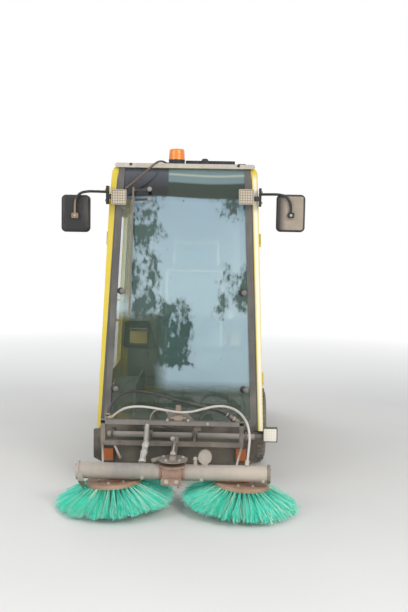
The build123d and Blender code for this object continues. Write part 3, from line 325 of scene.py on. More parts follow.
def drum(form, low, high, low_r, high_r, sides):
    depth = high - low
    made = bmesh.ops.create_cone(form, cap_ends=True, segments=sides, radius1=low_r, radius2=high_r, depth=depth)
    bmesh.ops.translate(form, vec=(0, 0, (low + high) / 2), verts=made["verts"])


# a washer, a hexagon with its chamfer and the end of the thread, for a washer about 1.4 wide
def draw_bolt(form):
    drum(form, -0.05, 0.10, 0.72, 0.70, 16)
    drum(form, 0.08, 0.42, 0.56, 0.56, 6)
    drum(form, 0.42, 0.48, 0.55, 0.44, 6)
    drum(form, 0.30, 0.56, 0.30, 0.27, 10)


# A tree of geometry nodes with named inputs: its graph, their identifiers and their outputs.
def new_tree(name, sockets):
    tree = bpy.data.node_groups.new(name, "GeometryNodeTree")
    tree.interface.new_socket("Geometry", in_out="OUTPUT", socket_type="NodeSocketGeometry")
    keys = {}
    for title, kind in sockets:
        keys[title] = tree.interface.new_socket(title, in_out="INPUT", socket_type="NodeSocket" + kind).identifier
    graph = Graph(tree)
    return graph, keys, graph.node("NodeGroupInput")[:len(keys)]


def close_tree(graph, geometry, material):
    whole = graph.node("GeometryNodeRealizeInstances", None, (geometry,))[0]
    painted = graph.node("GeometryNodeSetMaterial", None, (whole,), {"Material": material})[0]
    graph.node("NodeGroupOutput", None, (painted,))


# the mesh that a piece's modifiers leave, without the piece
def settled(piece):
    mesh = bpy.data.meshes.new_from_object(piece.evaluated_get(bpy.context.evaluated_depsgraph_get()))
    bpy.data.objects.remove(piece)
    return mesh


def grown(name, graph, keys, values, finish, carrier_mesh=None):
    carrier = put(name + "_carrier", carrier_mesh or bpy.data.meshes.new(name + "_carrier"))
    modifier = carrier.modifiers.new("grow", "NODES")
    modifier.node_group = graph.tree
    for title, value in {**values, "Finish": finish.material}.items():
        modifier[keys[title]] = value
    mesh = settled(carrier)
    mesh.materials.clear()
    mesh.materials.append(finish.material)
    return mesh


setter, setter_keys, (places, pattern, scale, setter_finish) = new_tree(
    "set_along_aim", (("Places", "Geometry"), ("Pattern", "Object"), ("Scale", "Float"), ("Finish", "Material")),
)
spots = setter.node("GeometryNodeMeshToPoints", None, (places,))[0]
shape = setter.node("GeometryNodeObjectInfo", None, (pattern,))[4]
aim, along, size = (
    setter.node("GeometryNodeInputNamedAttribute", {"data_type": kind}, (key,))[0]
    for key, kind in (("aim", "FLOAT_VECTOR"), ("along", "FLOAT_VECTOR"), ("size", "FLOAT"))
)
upright = setter.node("FunctionNodeAlignRotationToVector", {"axis": "Z"}, (None, 1.0, aim))[0]
turned = setter.node("FunctionNodeAlignRotationToVector", {"axis": "X", "pivot_axis": "Z"}, (upright, 1.0, along))[0]
copies = setter.node("GeometryNodeInstanceOnPoints", None, (spots, None, shape, None, None, turned, size * scale))[0]
close_tree(setter, copies, setter_finish)


# rows of place, facing and size in millimetres, and for lugs the direction that they lie along
def set_at(name, pattern, finish, rows):
    carrier = bpy.data.meshes.new(name + "_places")
    carrier.from_pydata([[value / 1000 for value in row[0]] for row in rows], [], [])
    for key, kind, field, values in (
        ("aim", "FLOAT_VECTOR", "vector", [value for row in rows for value in row[1]]),
        ("along", "FLOAT_VECTOR", "vector", [value for row in rows for value in (row[3] if len(row) > 3 else up)]),
        ("size", "FLOAT", "value", [row[2] / 1000 for row in rows]),
    ):
        carrier.attributes.new(key, kind, "POINT").data.foreach_set(field, values)
    return grown(name, setter, setter_keys, {"Pattern": pattern, "Scale": 1.0}, finish, carrier)


def fit(name, mesh, body, slot, *stands_for):
    piece = put(name, mesh)
    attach(piece, body)
    if stands_for:
        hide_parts(*stands_for)
    return piece


bolt = pattern_of("hexagon_bolt", draw_bolt)


def bolted(name, finish, rows, body, slot="grey_steel"):
    fit(name, set_at(name, bolt, finish, rows), body, slot)


zinc_pale, zinc_worn = (0.46, 0.43, 0.38), (0.62, 0.58, 0.52)
zinc = weathered("zinc_plate", zinc_pale, zinc_worn, 0.36, dust=0.25, wear=0.5, metallic=0.4, rust=0.25)
dark_bolt = weathered("dark_bolt", (0.045, 0.042, 0.04), (0.14, 0.12, 0.10), 0.5, dust=0.4, rust=0.3)
front, back, up = (0, -1, 0), (0, 1, 0), (0, 0, 1)


# Wheels
# Pressed steel rims painted white, held by wheel nuts round a grease cap, with small block-tread rubber tyres worn
# grey by the road.
def spun(profile, steps, axis="X"):
    form = bmesh.new()
    corners = [form.verts.new((beside, 0, out)) for beside, out in profile]
    edges = [form.edges.new(pair) for pair in zip(corners, corners[1:] + corners[:1])]
    turned_about = (1, 0, 0) if axis == "X" else (0, 0, 1)
    bmesh.ops.spin(
        form, geom=corners + edges, cent=(0, 0, 0), axis=turned_about, angle=2 * math.pi, steps=steps, use_merge=True,
    )
    bmesh.ops.remove_doubles(form, verts=form.verts, dist=1e-6)
    bmesh.ops.recalc_face_normals(form, faces=form.faces)
    mesh = formed("turned_form", form)
    mesh.shade_smooth()
    return mesh


def laid(mesh, lie, finish):
    mesh.transform(lie)
    mesh.materials.append(finish.material)
    return mesh


def joined(meshes):
    form = bmesh.new()
    for mesh in meshes:
        form.from_mesh(mesh)
    whole = formed("joined_form", form)
    whole.materials.append(meshes[0].materials[0])
    return whole


def draw_lug(form):
    made = bmesh.ops.create_cube(form, size=1)
    bmesh.ops.scale(form, vec=(0.052, 0.021, 0.011), verts=made["verts"])
    top = [vert for vert in form.verts if vert.co.z > 0]
    bmesh.ops.scale(form, vec=(0.92, 0.78, 1), verts=top)
    bmesh.ops.bevel(form, geom=form.edges[:], offset=0.0014, segments=2, affect="EDGES", profile=0.6)


rim_white = weathered("rim_paint", (0.66, 0.65, 0.60), (0.46, 0.42, 0.36), 0.45, dust=0.6, rust=0.25)
dress(rim_white, "rim_front_left", "rim_front_right", "rim_rear_left", "rim_rear_right")
tread = weathered("tyre", (0.050, 0.048, 0.044), (0.17, 0.155, 0.125), 0.72, dust=0.55, wear=0.6)
side_print = (tread.x.math("ABSOLUTE") * 900.0).math("SINE") * 0.5 + 0.5
tread.set("Roughness", 0.66 + side_print * 0.06)
carcass = (
    (-0.075, 0.131), (-0.088, 0.140), (-0.097, 0.165), (-0.0995, 0.190), (-0.097, 0.214), (-0.088, 0.231),
    (-0.070, 0.239), (-0.035, 0.241), (0.035, 0.241), (0.070, 0.239), (0.088, 0.231), (0.097, 0.214),
    (0.0995, 0.190), (0.097, 0.165), (0.088, 0.140), (0.075, 0.131),
)
cap_profile = ((0.0, 0.0), (0.030, 0.0), (0.030, 0.012), (0.024, 0.019), (0.010, 0.023), (0.0, 0.0235))
lug = pattern_of("tread_lug", draw_lug)
lug_count, lug_reach, hub_face, nut_circle, nut_count = 44, 244.2, 0.503, 72, 6
# place across the tread, lean and drop below the crown, in millimetres but for the lean
lug_rows = ((-64, 0.28, 3.9), (0, -0.2, 0), (64, 0.28, 3.9))
for place in ("front_left", "front_right", "rear_left", "rear_right"):
    low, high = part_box("tyre_" + place)
    hub = (Vector(low) + Vector(high)) / 2
    rows = []
    for number in range(lug_count):
        for row, (beside, lean, drop) in enumerate(lug_rows):
            at = 2 * math.pi * number / lug_count + (row % 2) * math.pi / lug_count
            out = (math.copysign(0.18, beside) if beside else 0, math.cos(at), math.sin(at))
            reach = lug_reach - drop
            spot = (hub.x * 1000 + beside, hub.y * 1000 + out[1] * reach, hub.z * 1000 + out[2] * reach)
            rows.append((spot, out, 1000, (1, -math.sin(at) * lean, math.cos(at) * lean)))
    blocks = set_at("tread_" + place, lug, tread, rows)
    body = laid(spun(carcass, 72), Matrix.Translation(hub), tread)
    fit("lugged_tyre_" + place, joined([body, blocks]), "wheel_" + place, "tyre", "tyre_" + place)
    side = 1 if hub.x > 0 else -1
    outward = Matrix.Translation((side * hub_face, hub.y, hub.z)) @ Matrix.Rotation(side * math.pi / 2, 4, "Y")
    cap = laid(spun(cap_profile, 24, "Z"), outward, rim_white)
    nuts = []
    for number in range(nut_count):
        turn = 2 * math.pi * (number + 0.5) / nut_count
        high_y, high_z = nut_circle * math.cos(turn), nut_circle * math.sin(turn)
        nuts.append(((hub.x * 1000 + side * 14, hub.y * 1000 + high_y, hub.z * 1000 + high_z), (side, 0, 0), 17))
    bolted("wheel_nuts_" + place, zinc, nuts, "wheel_" + place)
    fit("hub_cap_" + place, cap, "wheel_" + place, "rim_paint")


# Cab shell
# Yellow enamelled sheet and tube, with a dark bead of sealant along the pane's surround and a light lining in the
# cab. A cream stripe down the front pillar on the machine's left is a painted highlight, and a pale yellow on the
# inner face of the back pillar on its right is painted sunlight.
yellow = weathered("yellow_paint", (0.71, 0.55, 0.045), (0.79, 0.64, 0.15), 0.3, wear=0.3, coat=0.6)
# the shell narrows by 46 mm a side in each metre of height, so its stripes are measured from the pillar's foot
pillar_lean, pillar_foot = 0.0458, 0.385
beside_pane = yellow.x.math("ABSOLUTE") + (yellow.z - pillar_foot) * pillar_lean
facing_out = yellow.y.over(-0.68, -0.70)
right_side = yellow.x.over(-0.30, -0.33)
# painted highlight: a cream stripe down the forward face of the front pillar on the machine's left
painted_pillar_highlight = yellow.x.over(0.30, 0.33) * facing_out * beside_pane.within(0.482, 0.490, 0.502, 0.512)
yellow.cover(painted_pillar_highlight * 0.85, (0.93, 0.90, 0.80))
back_pillar = yellow.y.within(0.040, 0.055, 0.202, 0.206) * right_side
# painted sunlight: a pale yellow on the inner face of the back pillar on the machine's right
painted_sunlit_inner_pillar = back_pillar * beside_pane.over(0.508, 0.503) * yellow.z.within(1.05, 1.07, 1.65, 1.67)
yellow.cover(painted_sunlit_inner_pillar * 0.9, (0.97, 0.95, 0.60))
edge = beside_pane - right_side * yellow.z.over(1.60, 0.40) * 0.010
yellow.cover(edge.over(0.4800, 0.4780) * facing_out, (0.085, 0.080, 0.076))
dress(yellow, "cab_frame", "door_left", "door_right")
lining = weathered("cab_lining", (0.24, 0.26, 0.24), (0.33, 0.35, 0.32), 0.7, dust=0.2, grain=0.0003)
dress(lining, "rear_wall", "cab_floor")
moulded = weathered("black_plastic", (0.022, 0.022, 0.023), (0.09, 0.088, 0.085), 0.5, dust=0.4, grain=0.0002)
dress(moulded, "low_frames", "roof_hatch", "beacon_base", "seat_base", "console", "steering_wheel", "suction_head")
rubber = weathered("rubber", (0.100, 0.096, 0.092), (0.19, 0.18, 0.165), 0.62, wear=0.6, grain=0.0003)
dress(rubber, "windscreen_gasket")


# Glass
# Green tinted safety glass under a film of dust, held in rubber: a pale blue painted sky reflection, brighter lower
# down, with painted dark reflections of trees in mottled patches, a dark band at the top with a painted highlight
# streak, greener and darker towards the floor.
def filmed(name):
    finish = Finish(name, roughness=0.03)
    finish.set("Specular IOR Level", 0.7)
    film = finish.noise(3.2, 5) * 0.5 + finish.noise(26, 4, (1, 1, 0.25)) * 0.5
    finish.bump(film, 0.0002, 0.08)
    return finish, film


def clear(name, tint, veil, strength):
    finish, film = filmed(name)
    finish.set("Base Color", finish.mix(film.over(0.3, 0.75), tint, veil))
    finish.set("Alpha", (strength + film.over(0.45, 0.8) * 0.12).clip())
    return finish


glass = filmed("screen_glass")[0]
# painted reflections of trees: dark mottled patches, denser in the column, clump, corner and spray set below
mottle = glass.noise(9, 6, (1.2, 1, 0.7)) * 0.6 + glass.noise(40, 4, (1, 1, 0.6)) * 0.4
column = glass.x.within(-0.33, -0.30, -0.17, -0.08) * glass.z.over(0.98, 1.10)
clump = glass.x.within(-0.25, -0.18, 0.03, 0.13) * glass.z.within(0.68, 0.74, 1.06, 1.18)
corner = glass.x.over(0.03, 0.20) * glass.z.over(1.50, 1.68)
spray = glass.x.over(0.14, 0.25) * glass.z.within(1.00, 1.07, 1.28, 1.38)
patched = (column * 0.8 + clump + corner * 0.8 + spray * 0.75).clip()
painted_tree_reflection = (mottle + patched * 0.24).over(0.62, 0.72)
lower_side = glass.x.over(-0.08, -0.17) * glass.z.over(1.07, 1.00)
foot = glass.z.over(0.64, 0.56)
pillar_side = glass.x.over(-0.30, -0.325) * glass.z.over(1.10, 1.18)
# painted sky reflection: a pale blue, brighter lower down
glass.set("Base Color", glass.mix(glass.z.over(1.68, 1.25), (0.430, 0.610, 0.725), (0.525, 0.715, 0.80)))
glass.cover(painted_tree_reflection, (0.050, 0.105, 0.092))
glass.cover(foot, (0.100, 0.140, 0.115))
glass.cover(lower_side, (0.075, 0.110, 0.080))
hem = (glass.x * 9.0).math("SINE") * 0.006 + glass.z
band = hem.over(1.748, 1.758)
left_band = glass.mix(hem.over(1.838, 1.850), (0.030, 0.050, 0.035), (0.19, 0.28, 0.29))
right_band = glass.mix(hem.over(1.80, 1.90), (0.020, 0.021, 0.022), (0.10, 0.11, 0.14))
band_tone = glass.mix(glass.x.over(-0.092, -0.102), left_band, right_band)
# painted highlight: a pale streak across the top band
painted_band_highlight = hem.within(1.882, 1.890, 1.896, 1.902) * glass.x.over(-0.100, -0.092)
band_tone = glass.mix(painted_band_highlight * 0.7, band_tone, (0.50, 0.56, 0.47))
glass.cover(band, band_tone)
body_share = 0.43 + painted_tree_reflection * 0.28 - lower_side * (painted_tree_reflection * 0.10 + 0.13) - pillar_side * 0.35 + foot * 0.02
glass.set("Alpha", (body_share + band * (0.76 - body_share)).clip())
dress(glass, "windscreen")
side_glass = clear("side_glass", (0.22, 0.29, 0.28), (0.42, 0.50, 0.52), 0.15)
dress(side_glass, "door_glass_left", "door_glass_right", "rear_glass")
visor = clear("visor_tint", (0.030, 0.052, 0.047), (0.075, 0.11, 0.095), 0.80)
dress(visor, "sun_visor")


# Glass clamps
# Black plastic cups screwed to the pane near its edges, each with a grey round-headed steel stud in its middle.
stud_grey = weathered("stud_grey", (0.17, 0.155, 0.14), (0.36, 0.33, 0.30), 0.35, wear=0.6)
cup = spun(((0, 0.0), (0.019, 0.0), (0.021, 0.004), (0.020, 0.010), (0.016, 0.013), (0.0, 0.013)), 28, "Z")
stud = spun(
    ((0, 0.010), (0.011, 0.010), (0.012, 0.016), (0.0165, 0.021), (0.0175, 0.028), (0.014, 0.035), (0.007, 0.039),
     (0, 0.040)), 28, "Z",
)
cups, studs = [], []
pane_y, pane_foot, pane_lean = -0.789, 0.335, 0.042 / 1.305
for x, z in ((-0.367, 1.181), (0.373, 1.185), (-0.400, 0.583), (0.394, 0.590)):
    on_pane = Matrix.Translation((x, pane_y + (z - pane_foot) * pane_lean, z))
    lie = on_pane @ Matrix.Rotation(math.radians(91.8), 4, "X")
    cups.append(laid(cup.copy(), lie @ Matrix.Translation((-0.009, 0, 0)), moulded))
    studs.append(laid(stud.copy(), lie @ Matrix.Translation((0.004, 0, 0)), stud_grey))
fit("clamp_cups", joined(cups), "front_module", "black_plastic")
fit("clamp_studs", joined(studs), "front_module", "black_plastic")


# Roof
# Cream sheet cap with a brow over the pane, held by two dark screws, under a black moulded hatch and a ribbed amber
# beacon on its base.
cream = weathered("roof_cream", (0.48, 0.44, 0.385), (0.63, 0.59, 0.52), 0.45, dust=0.4, wear=0.5)
dress(cream, "roof")
brow_screws = [((x, -690, 1953), front, 13) for x in (-330, 328)]
bolted("brow_screws", dark_bolt, brow_screws, "front_module", "chassis_steel")
beacon_x, beacon_y, beacon_ribs = -0.059, -0.5, 36.0
amber = weathered("amber_plastic", (0.90, 0.25, 0.010), (0.94, 0.36, 0.04), 0.2, dust=0.04, wear=0.3, coat=0.4)
ribs = ((amber.x - beacon_x).math("ARCTAN2", amber.y - beacon_y) * beacon_ribs).math("SINE")
amber.bump(ribs * 0.5 + amber.noise(300, 2) * 0.2, 0.0006)
dress(amber, "beacon_lens")


# Conduit
# Brown corrugated plastic sleeve with the beacon's wires, clipped over the roof edge down to the work lamp.
conduit_brown = weathered("conduit_brown", (0.13, 0.095, 0.07), (0.27, 0.21, 0.165), 0.5)
sleeve, sleeve_keys, (route, radius, pitch, depth, sleeve_finish) = new_tree(
    "ringed_sleeve",
    (("Route", "Object"), ("Radius", "Float"), ("Pitch", "Float"), ("Depth", "Float"), ("Finish", "Material")),
)
line = sleeve.node("GeometryNodeObjectInfo", None, (route,))[4]
line = sleeve.node("GeometryNodeResampleCurve", {"mode": "LENGTH"}, (), {"Curve": line, "Length": pitch * 0.25})[0]
wave = ((sleeve.node("GeometryNodeSplineParameter")[1] / pitch * (2 * math.pi)).math("SINE") * depth + 1.0) * radius
ring = sleeve.node("GeometryNodeCurvePrimitiveCircle", None, (), {"Resolution": 12, "Radius": 1.0})[0]
skin = sleeve.node("GeometryNodeCurveToMesh", None, (line, ring), {"Scale": wave, "Fill Caps": True})[0]
close_tree(sleeve, skin, sleeve_finish)


def ringed_sleeve(name, route_points, radius, pitch, depth, finish):
    guide = put(name + "_line", bent_line(name + "_line", route_points, 24))
    values = {"Route": guide, "Radius": radius, "Pitch": pitch, "Depth": depth}
    mesh = grown(name, sleeve, sleeve_keys, values, finish)
    bpy.data.objects.remove(guide)
    return mesh


conduit_route = (
    (-122, -512, 1972), (-124, -570, 1973), (-142, -650, 1977), (-168, -718, 1966), (-204, -766, 1928),
    (-256, -790, 1878), (-308, -803, 1830), (-346, -812, 1800),
)
conduit = ringed_sleeve("conduit", conduit_route, 0.0062, 0.0044, 0.10, conduit_brown)
fit("corrugated_conduit", conduit, "front_module", "conduit_brown", "beacon_conduit")


# Driver's seat
# Foam cushion, back, headrest and armrests in grey-blue cloth with pale welts, painted near white so that they also
# stand for highlights on the edges, blown up by a cloth simulation and then stitched.
fabric = weathered("seat_fabric", (0.28, 0.34, 0.37), (0.38, 0.44, 0.46), 0.85, dust=0.15, grain=0.0002)
back_middle, head_middle, head_foot = 0.050, 0.059, 1.29
# pale welts round the back and headrest, painted near white so that they also give painted highlights on the edges
back_welt_and_highlight = (1.0 - fabric.x.near(back_middle, 0.184, 0.190)) * fabric.z.over(head_foot, 1.28)
head_welt_and_highlight = (1.0 - fabric.x.near(head_middle, 0.142, 0.148)) * fabric.z.over(head_foot, 1.30)
upper_welts_and_highlights = fabric.z.over(1.458, 1.464) + fabric.z.within(1.262, 1.268, 1.290, 1.296)
welts_and_edge_highlights = (back_welt_and_highlight + head_welt_and_highlight + upper_welts_and_highlights).clip() * fabric.z.over(0.74, 0.76)
fabric.cover(welts_and_edge_highlights, (0.94, 0.93, 0.84))
threads = 2600.0
weave = (fabric.x * threads).math("SINE") * (fabric.z * threads + fabric.y * threads).math("SINE")
fabric.bump(weave * 0.12 + fabric.noise(90, 3) * 0.6, 0.0005)


def pad_core(outline, left_x, right_x, inset):
    form = bmesh.new()
    face = form.faces.new([form.verts.new((left_x + inset, y, z)) for y, z in outline])
    pushed = bmesh.ops.extrude_face_region(form, geom=[face])
    moved = [item for item in pushed["geom"] if isinstance(item, bmesh.types.BMVert)]
    bmesh.ops.translate(form, vec=(right_x - left_x - 2 * inset, 0, 0), verts=moved)
    bmesh.ops.recalc_face_normals(form, faces=form.faces)
    bmesh.ops.bevel(form, geom=form.edges[:], offset=0.012, segments=3, affect="EDGES", clamp_overlap=True)
    return formed("pad_core", form)


voxel, most_swell, seam_reach, seam_depth, seam_width = 0.008, 0.009, 0.02, 0.007, 0.0065


def filled_pad(name, outline, left_x, right_x, seams):
    core = put(name + "_core", pad_core(outline, left_x, right_x, 0.006))
    remesh = core.modifiers.new("even", "REMESH")
    remesh.mode = "VOXEL"
    remesh.voxel_size = voxel
    even = settled(core)
    start = [vert.co.copy() for vert in even.vertices]
    blown = put(name + "_blown", even)
    cloth = blown.modifiers.new("fill", "CLOTH")
    cloth.settings.use_pressure = True
    cloth.settings.uniform_pressure_force = 4
    cloth.settings.effector_weights.gravity = 0
    for step in range(1, 21):
        bpy.context.scene.frame_set(step)
    even = settled(blown)
    bpy.context.scene.frame_set(1)
    for vert, origin in zip(even.vertices, start):
        move = vert.co - origin
        if move.length > most_swell:
            vert.co = origin + move.normalized() * most_swell
    for axis, place in seams:
        for vert in even.vertices:
            away = abs(vert.co[axis] - place)
            if away < seam_reach:
                vert.co -= vert.normal * seam_depth * math.exp(-((away / seam_width) ** 2))
    even.shade_smooth()
    even.materials.clear()
    even.materials.append(fabric.material)
    return even


armrest = ((-0.335, 0.966), (-0.335, 1.008), (-0.025, 1.008), (-0.025, 0.966))
# name, side outline of y and z, left and right edge, fill, seams by axis and place
pads = (
    ("seat_cushion", ((-0.440, 0.640), (-0.436, 0.716), (-0.300, 0.730), (-0.060, 0.698), (0.020, 0.698),
                      (0.020, 0.628)), -0.165, 0.265, 0.8, ((0, -0.075), (0, 0.175), (1, -0.20))),
    ("seat_back", ((-0.040, 0.716), (-0.004, 0.980), (0.044, 1.290), (0.092, 1.288), (0.064, 1.000), (0.040, 0.716)),
     -0.168, 0.268, 0.8, ((0, -0.070), (0, 0.170), (2, 0.90), (2, 1.09))),
    ("headrest", ((0.052, 1.300), (0.036, 1.342), (0.058, 1.488), (0.100, 1.490), (0.096, 1.300)), -0.116, 0.234, 0.9,
     ((0, 0.059),)),
    ("armrest_right", armrest, -0.224, -0.168, 0.9, ()),
    ("armrest_left", armrest, 0.268, 0.324, 0.9, ()),
)
for name, outline, left_x, right_x, fill, seams in pads:
    pad = fit(name, filled_pad(name, outline, left_x, right_x, seams), "front_module", "seat_fabric")
    smooth = pad.modifiers.new("smooth", "SUBSURF")
    smooth.levels = smooth.render_levels = 1
    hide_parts("seat_pads")


# Instruments
# Three round gauges of pale grey plastic, pressed into the pod that faces the driver.
def draw_gauge(form):
    drum(form, -0.02, 0.10, 0.50, 0.47, 28)
    drum(form, 0.02, 0.13, 0.40, 0.40, 28)


dial = weathered("dial_face", (0.30, 0.31, 0.30), (0.45, 0.46, 0.44), 0.3, dust=0.1, grain=0.00005)
gauge = pattern_of("gauge_rim", draw_gauge)
gauges = [((x, -585, 958), (0, 0.55, 0.83), 48) for x in (0, 52, 104)]
fit("gauge_rims", set_at("gauges", gauge, dial, gauges), "front_module", "black_plastic")


# Mirrors
# Deep moulded housings on bent black arms, bolted to the cab's sides: the right one black with a bronze stalk, the
# left one taupe in a black rim.
mirror_x, left_middle_z, right_clamp_top = 0.641, 1.667, 1.648
housing = weathered("mirror_shell", (0.022, 0.021, 0.021), (0.085, 0.08, 0.075), 0.42, grain=0.0002)
on_back = housing.y.over(-0.8575, -0.8595) * housing.y.over(-0.8652, -0.8645)
in_rim = housing.x.near(mirror_x, 0.070, 0.076) * housing.z.near(left_middle_z, 0.096, 0.102) * on_back
taupe = housing.mix(housing.noise(12, 4), (0.25, 0.205, 0.16), (0.40, 0.34, 0.275))
shaded_side = housing.mix(housing.x.over(0.612, 0.572), taupe, (0.028, 0.026, 0.025))
housing.cover(in_rim, shaded_side)
clamp = housing.x.near(-mirror_x, 0.022, 0.026) * housing.z.over(right_clamp_top + 0.004, right_clamp_top)
stalk = (housing.x.near(-mirror_x, 0.0060, 0.0075) + clamp).clip()
stalk = stalk * housing.y.over(-0.862, -0.866) * housing.z.over(1.745, 1.725)
housing.cover(stalk, (0.26, 0.175, 0.11))
dress(housing, "mirror_arms")
silver, silver_worn = (0.8, 0.81, 0.82), (0.66, 0.66, 0.66)
mirror = weathered("mirror_glass", silver, silver_worn, 0.04, dust=0.08, metallic=1.0, grain=0.00002)
dress(mirror, "mirror_glasses")
arm_bolts = [((side * 469, -762, z), (side, 0, 0), 13) for side in (-1, 1) for z in (1728, 1792)]
arm_bolts += [((side * 640, -883, low + 98), front, 11) for side, low in ((-1, 1534), (1, 1556))]
bolted("mirror_bolts", zinc, arm_bolts, "front_module")


# Work lamps
# Finned black castings, bleached round the upper faces, with a lens of small square reflectors between fine joints.
lamp_case = weathered("lamp_case", (0.026, 0.025, 0.025), (0.10, 0.095, 0.09), 0.45, grain=0.0002)
bleached_rim = lamp_case.y.over(-0.829, -0.834) * lamp_case.z.over(1.0, 1.1)
lamp_case.cover(bleached_rim, (0.44, 0.385, 0.31))
dress(lamp_case, "lamp_housings")
lens = weathered("lamp_lens", (0.56, 0.49, 0.38), (0.68, 0.62, 0.50), 0.3, dust=0.2, wear=0.5, coat=0.5)
low_lamp = lens.z.over(1.0, 0.99)
proud = (lens.y * -1.0).over(0.8392, 0.8405) + low_lamp * (lens.y * -1.0).over(0.7512, 0.7525)
lens.cover(low_lamp, (0.98, 0.94, 0.85))
lens.cover(1.0 - proud.clip(), lens.mix(low_lamp, (0.27, 0.225, 0.17), (0.88, 0.82, 0.72)))
dress(lens, "lamp_lenses")


# Wiper
# Black steel links on two spindles with grey caps, and a long rubber blade bleached to a pinkish grey.
wiper_black = weathered("wiper_arm", (0.030, 0.029, 0.030), (0.10, 0.095, 0.09), 0.45, grain=0.0002)
blade = wiper_black.x.over(-0.289, -0.294)
wiper_black.cover(blade, (0.20, 0.160, 0.130))
dress(wiper_black, "wiper")
knob = ((0, 0.004), (0.010, 0.004), (0.0135, 0.009), (0.0150, 0.015), (0.0135, 0.021), (0.009, 0.026), (0, 0.028))
forwards = Matrix.Rotation(math.pi / 2, 4, "X")
knobs = [
    laid(spun(knob, 24, "Z"), Matrix.Translation((-0.203, -0.802, z)) @ forwards, stud_grey) for z in (1.797, 1.737)
]
fit("wiper_knobs", joined(knobs), "front_module", "black_plastic")


# Front panel
# Dark brown moulded skirt in three faces, screwed to the cab, round two hooded orange indicators.
skirt, skirt_worn = (0.038, 0.030, 0.027), (0.10, 0.083, 0.07)
panel_dark = weathered("panel_dark", skirt, skirt_worn, 0.55, dust=0.42, wear=0.45, rust=0.12)
# painted light: the lower part of the skirt on the machine's left, made brighter
painted_light_patch = panel_dark.x.over(-0.035, -0.02) * panel_dark.z.over(0.325, 0.318)
panel_dark.cover(painted_light_patch * 0.4, (0.16, 0.13, 0.11))
dress(panel_dark, "front_panel")
signal = weathered("signal_lens", (0.50, 0.115, 0.020), (0.62, 0.20, 0.05), 0.3, dust=0.2, wear=0.4, coat=0.4)
flutes = (signal.z * 1400.0).math("SINE")
signal.bump(flutes * 0.5 + signal.noise(240, 2) * 0.2, 0.0008)
dress(signal, "indicators")
panel_screws = [((x, -811, z), front, 11) for x in (-362, -74, -6, 304) for z in (144, 304)]
panel_screws += [((x, -815, z), front, 12) for x in (-518, 466) for z in (184, 312)]
bolted("panel_screws", dark_bolt, panel_screws, "front_module", "chassis_steel")


# Lift frame
# Welded square tube worn to a dusty brown grey, with thin pull rods, valve and clips, on the implement shaft.
frame_brown = weathered("frame_steel", (0.090, 0.080, 0.072), (0.23, 0.20, 0.175), 0.5, dust=0.45, wear=0.8, rust=0.4)
top_bar = frame_brown.z.over(0.42, 0.43) * frame_brown.y.over(-1.06, -1.07)
frame_brown.cover(top_bar * 0.5, (0.235, 0.225, 0.21))
# the open ends of the two uprights, painted black as the shade within them
tube_middle, tube_half_span, tube_top = -0.032, 0.4025, 0.441
painted_shade_in_tube_ends = (frame_brown.x - tube_middle).math("ABSOLUTE").near(tube_half_span, 0.0122, 0.0128)
painted_shade_in_tube_ends = painted_shade_in_tube_ends * frame_brown.z.near(tube_top, 0.0088, 0.0100) * frame_brown.y.over(-1.03, -1.04)
frame_brown.cover(painted_shade_in_tube_ends, (0.008, 0.007, 0.007))
dress(frame_brown, "lift_frame")
valve_brass = weathered("valve_brass", (0.27, 0.20, 0.15), (0.44, 0.36, 0.29), 0.45, dust=0.5, wear=0.6)
valve_rust = valve_brass.z.within(0.484, 0.490, 0.508, 0.518)
valve_brass.cover(valve_rust, (0.22, 0.12, 0.08))
dress(valve_brass, "valve")


def between(start, end):
    return Matrix.Translation(start) @ (end - start).to_track_quat("Z", "Y").to_matrix().to_4x4()


def bar_between(start, end, r, finish, sides=12):
    start, end = Vector(start) / 1000, Vector(end) / 1000
    form = bmesh.new()
    drum(form, 0, (end - start).length, r / 1000, r / 1000, sides)
    mesh = laid(formed("round_bar", form), between(start, end), finish)
    mesh.shade_smooth()
    return mesh


pale_rod = weathered("pale_rod", (0.42, 0.37, 0.32), (0.58, 0.52, 0.46), 0.4, rust=0.3)
# start, end, radius, finish
links = (
    ((-436, -1086, 312), (-402, -1322, 262), 6, pale_rod), ((372, -1086, 312), (340, -1322, 262), 6, pale_rod),
    ((-372, -1074, 312), (-328, -1120, 236), 7, pale_rod), ((-13, -1112, 348), (-13, -1330, 330), 5, pale_rod),
    ((-250, -1050, 425), (-130, -1030, 385), 4, hose_dark), ((-150, -1040, 432), (-30, -1030, 392), 4, hose_dark),
)
for name, finish in (("pull_rods", pale_rod), ("thin_lines", hose_dark)):
    fit(name, joined([bar_between(*row) for row in links if row[3] is finish]), "brush_gear", "grey_steel")
frame_bolts = [
    ((-28, -1092, 350), front, 19), ((173, -1092, 441), front, 11), ((-60, -1103, 462), front, 11),
    ((60, -1103, 462), front, 11),
]
bolted("frame_bolts", zinc, frame_bolts, "brush_gear")


# Ties
# Tan plastic straps that hold the hoses to the frame at its two upper corners.
tan = weathered("tan_strap", (0.42, 0.33, 0.25), (0.55, 0.46, 0.37), 0.6)
straps = []
# middle, inner radius, width, thickness and the direction of the hose in it
for middle, r, width, thick, run in (
    ((-394, -1081, 470), 0.0150, 0.012, 0.0022, (-0.2, 0, 1)),
    ((-408, -1080, 488), 0.0090, 0.007, 0.0018, (0.2, 0, 1)),
    ((286, -1080, 497), 0.0092, 0.008, 0.0020, (1, 0, -0.5)),
    ((325, -1080, 473), 0.0118, 0.010, 0.0020, (1, 0, -0.6)),
):
    strap = spun(((-width / 2, r), (width / 2, r), (width / 2, r + thick), (-width / 2, r + thick)), 20)
    along_hose = Vector(run).to_track_quat("X", "Z").to_matrix().to_4x4()
    straps.append(laid(strap, Matrix.Translation(Vector(middle) / 1000) @ along_hose, tan))
fit("hose_straps", joined(straps), "brush_gear", "grey_steel")


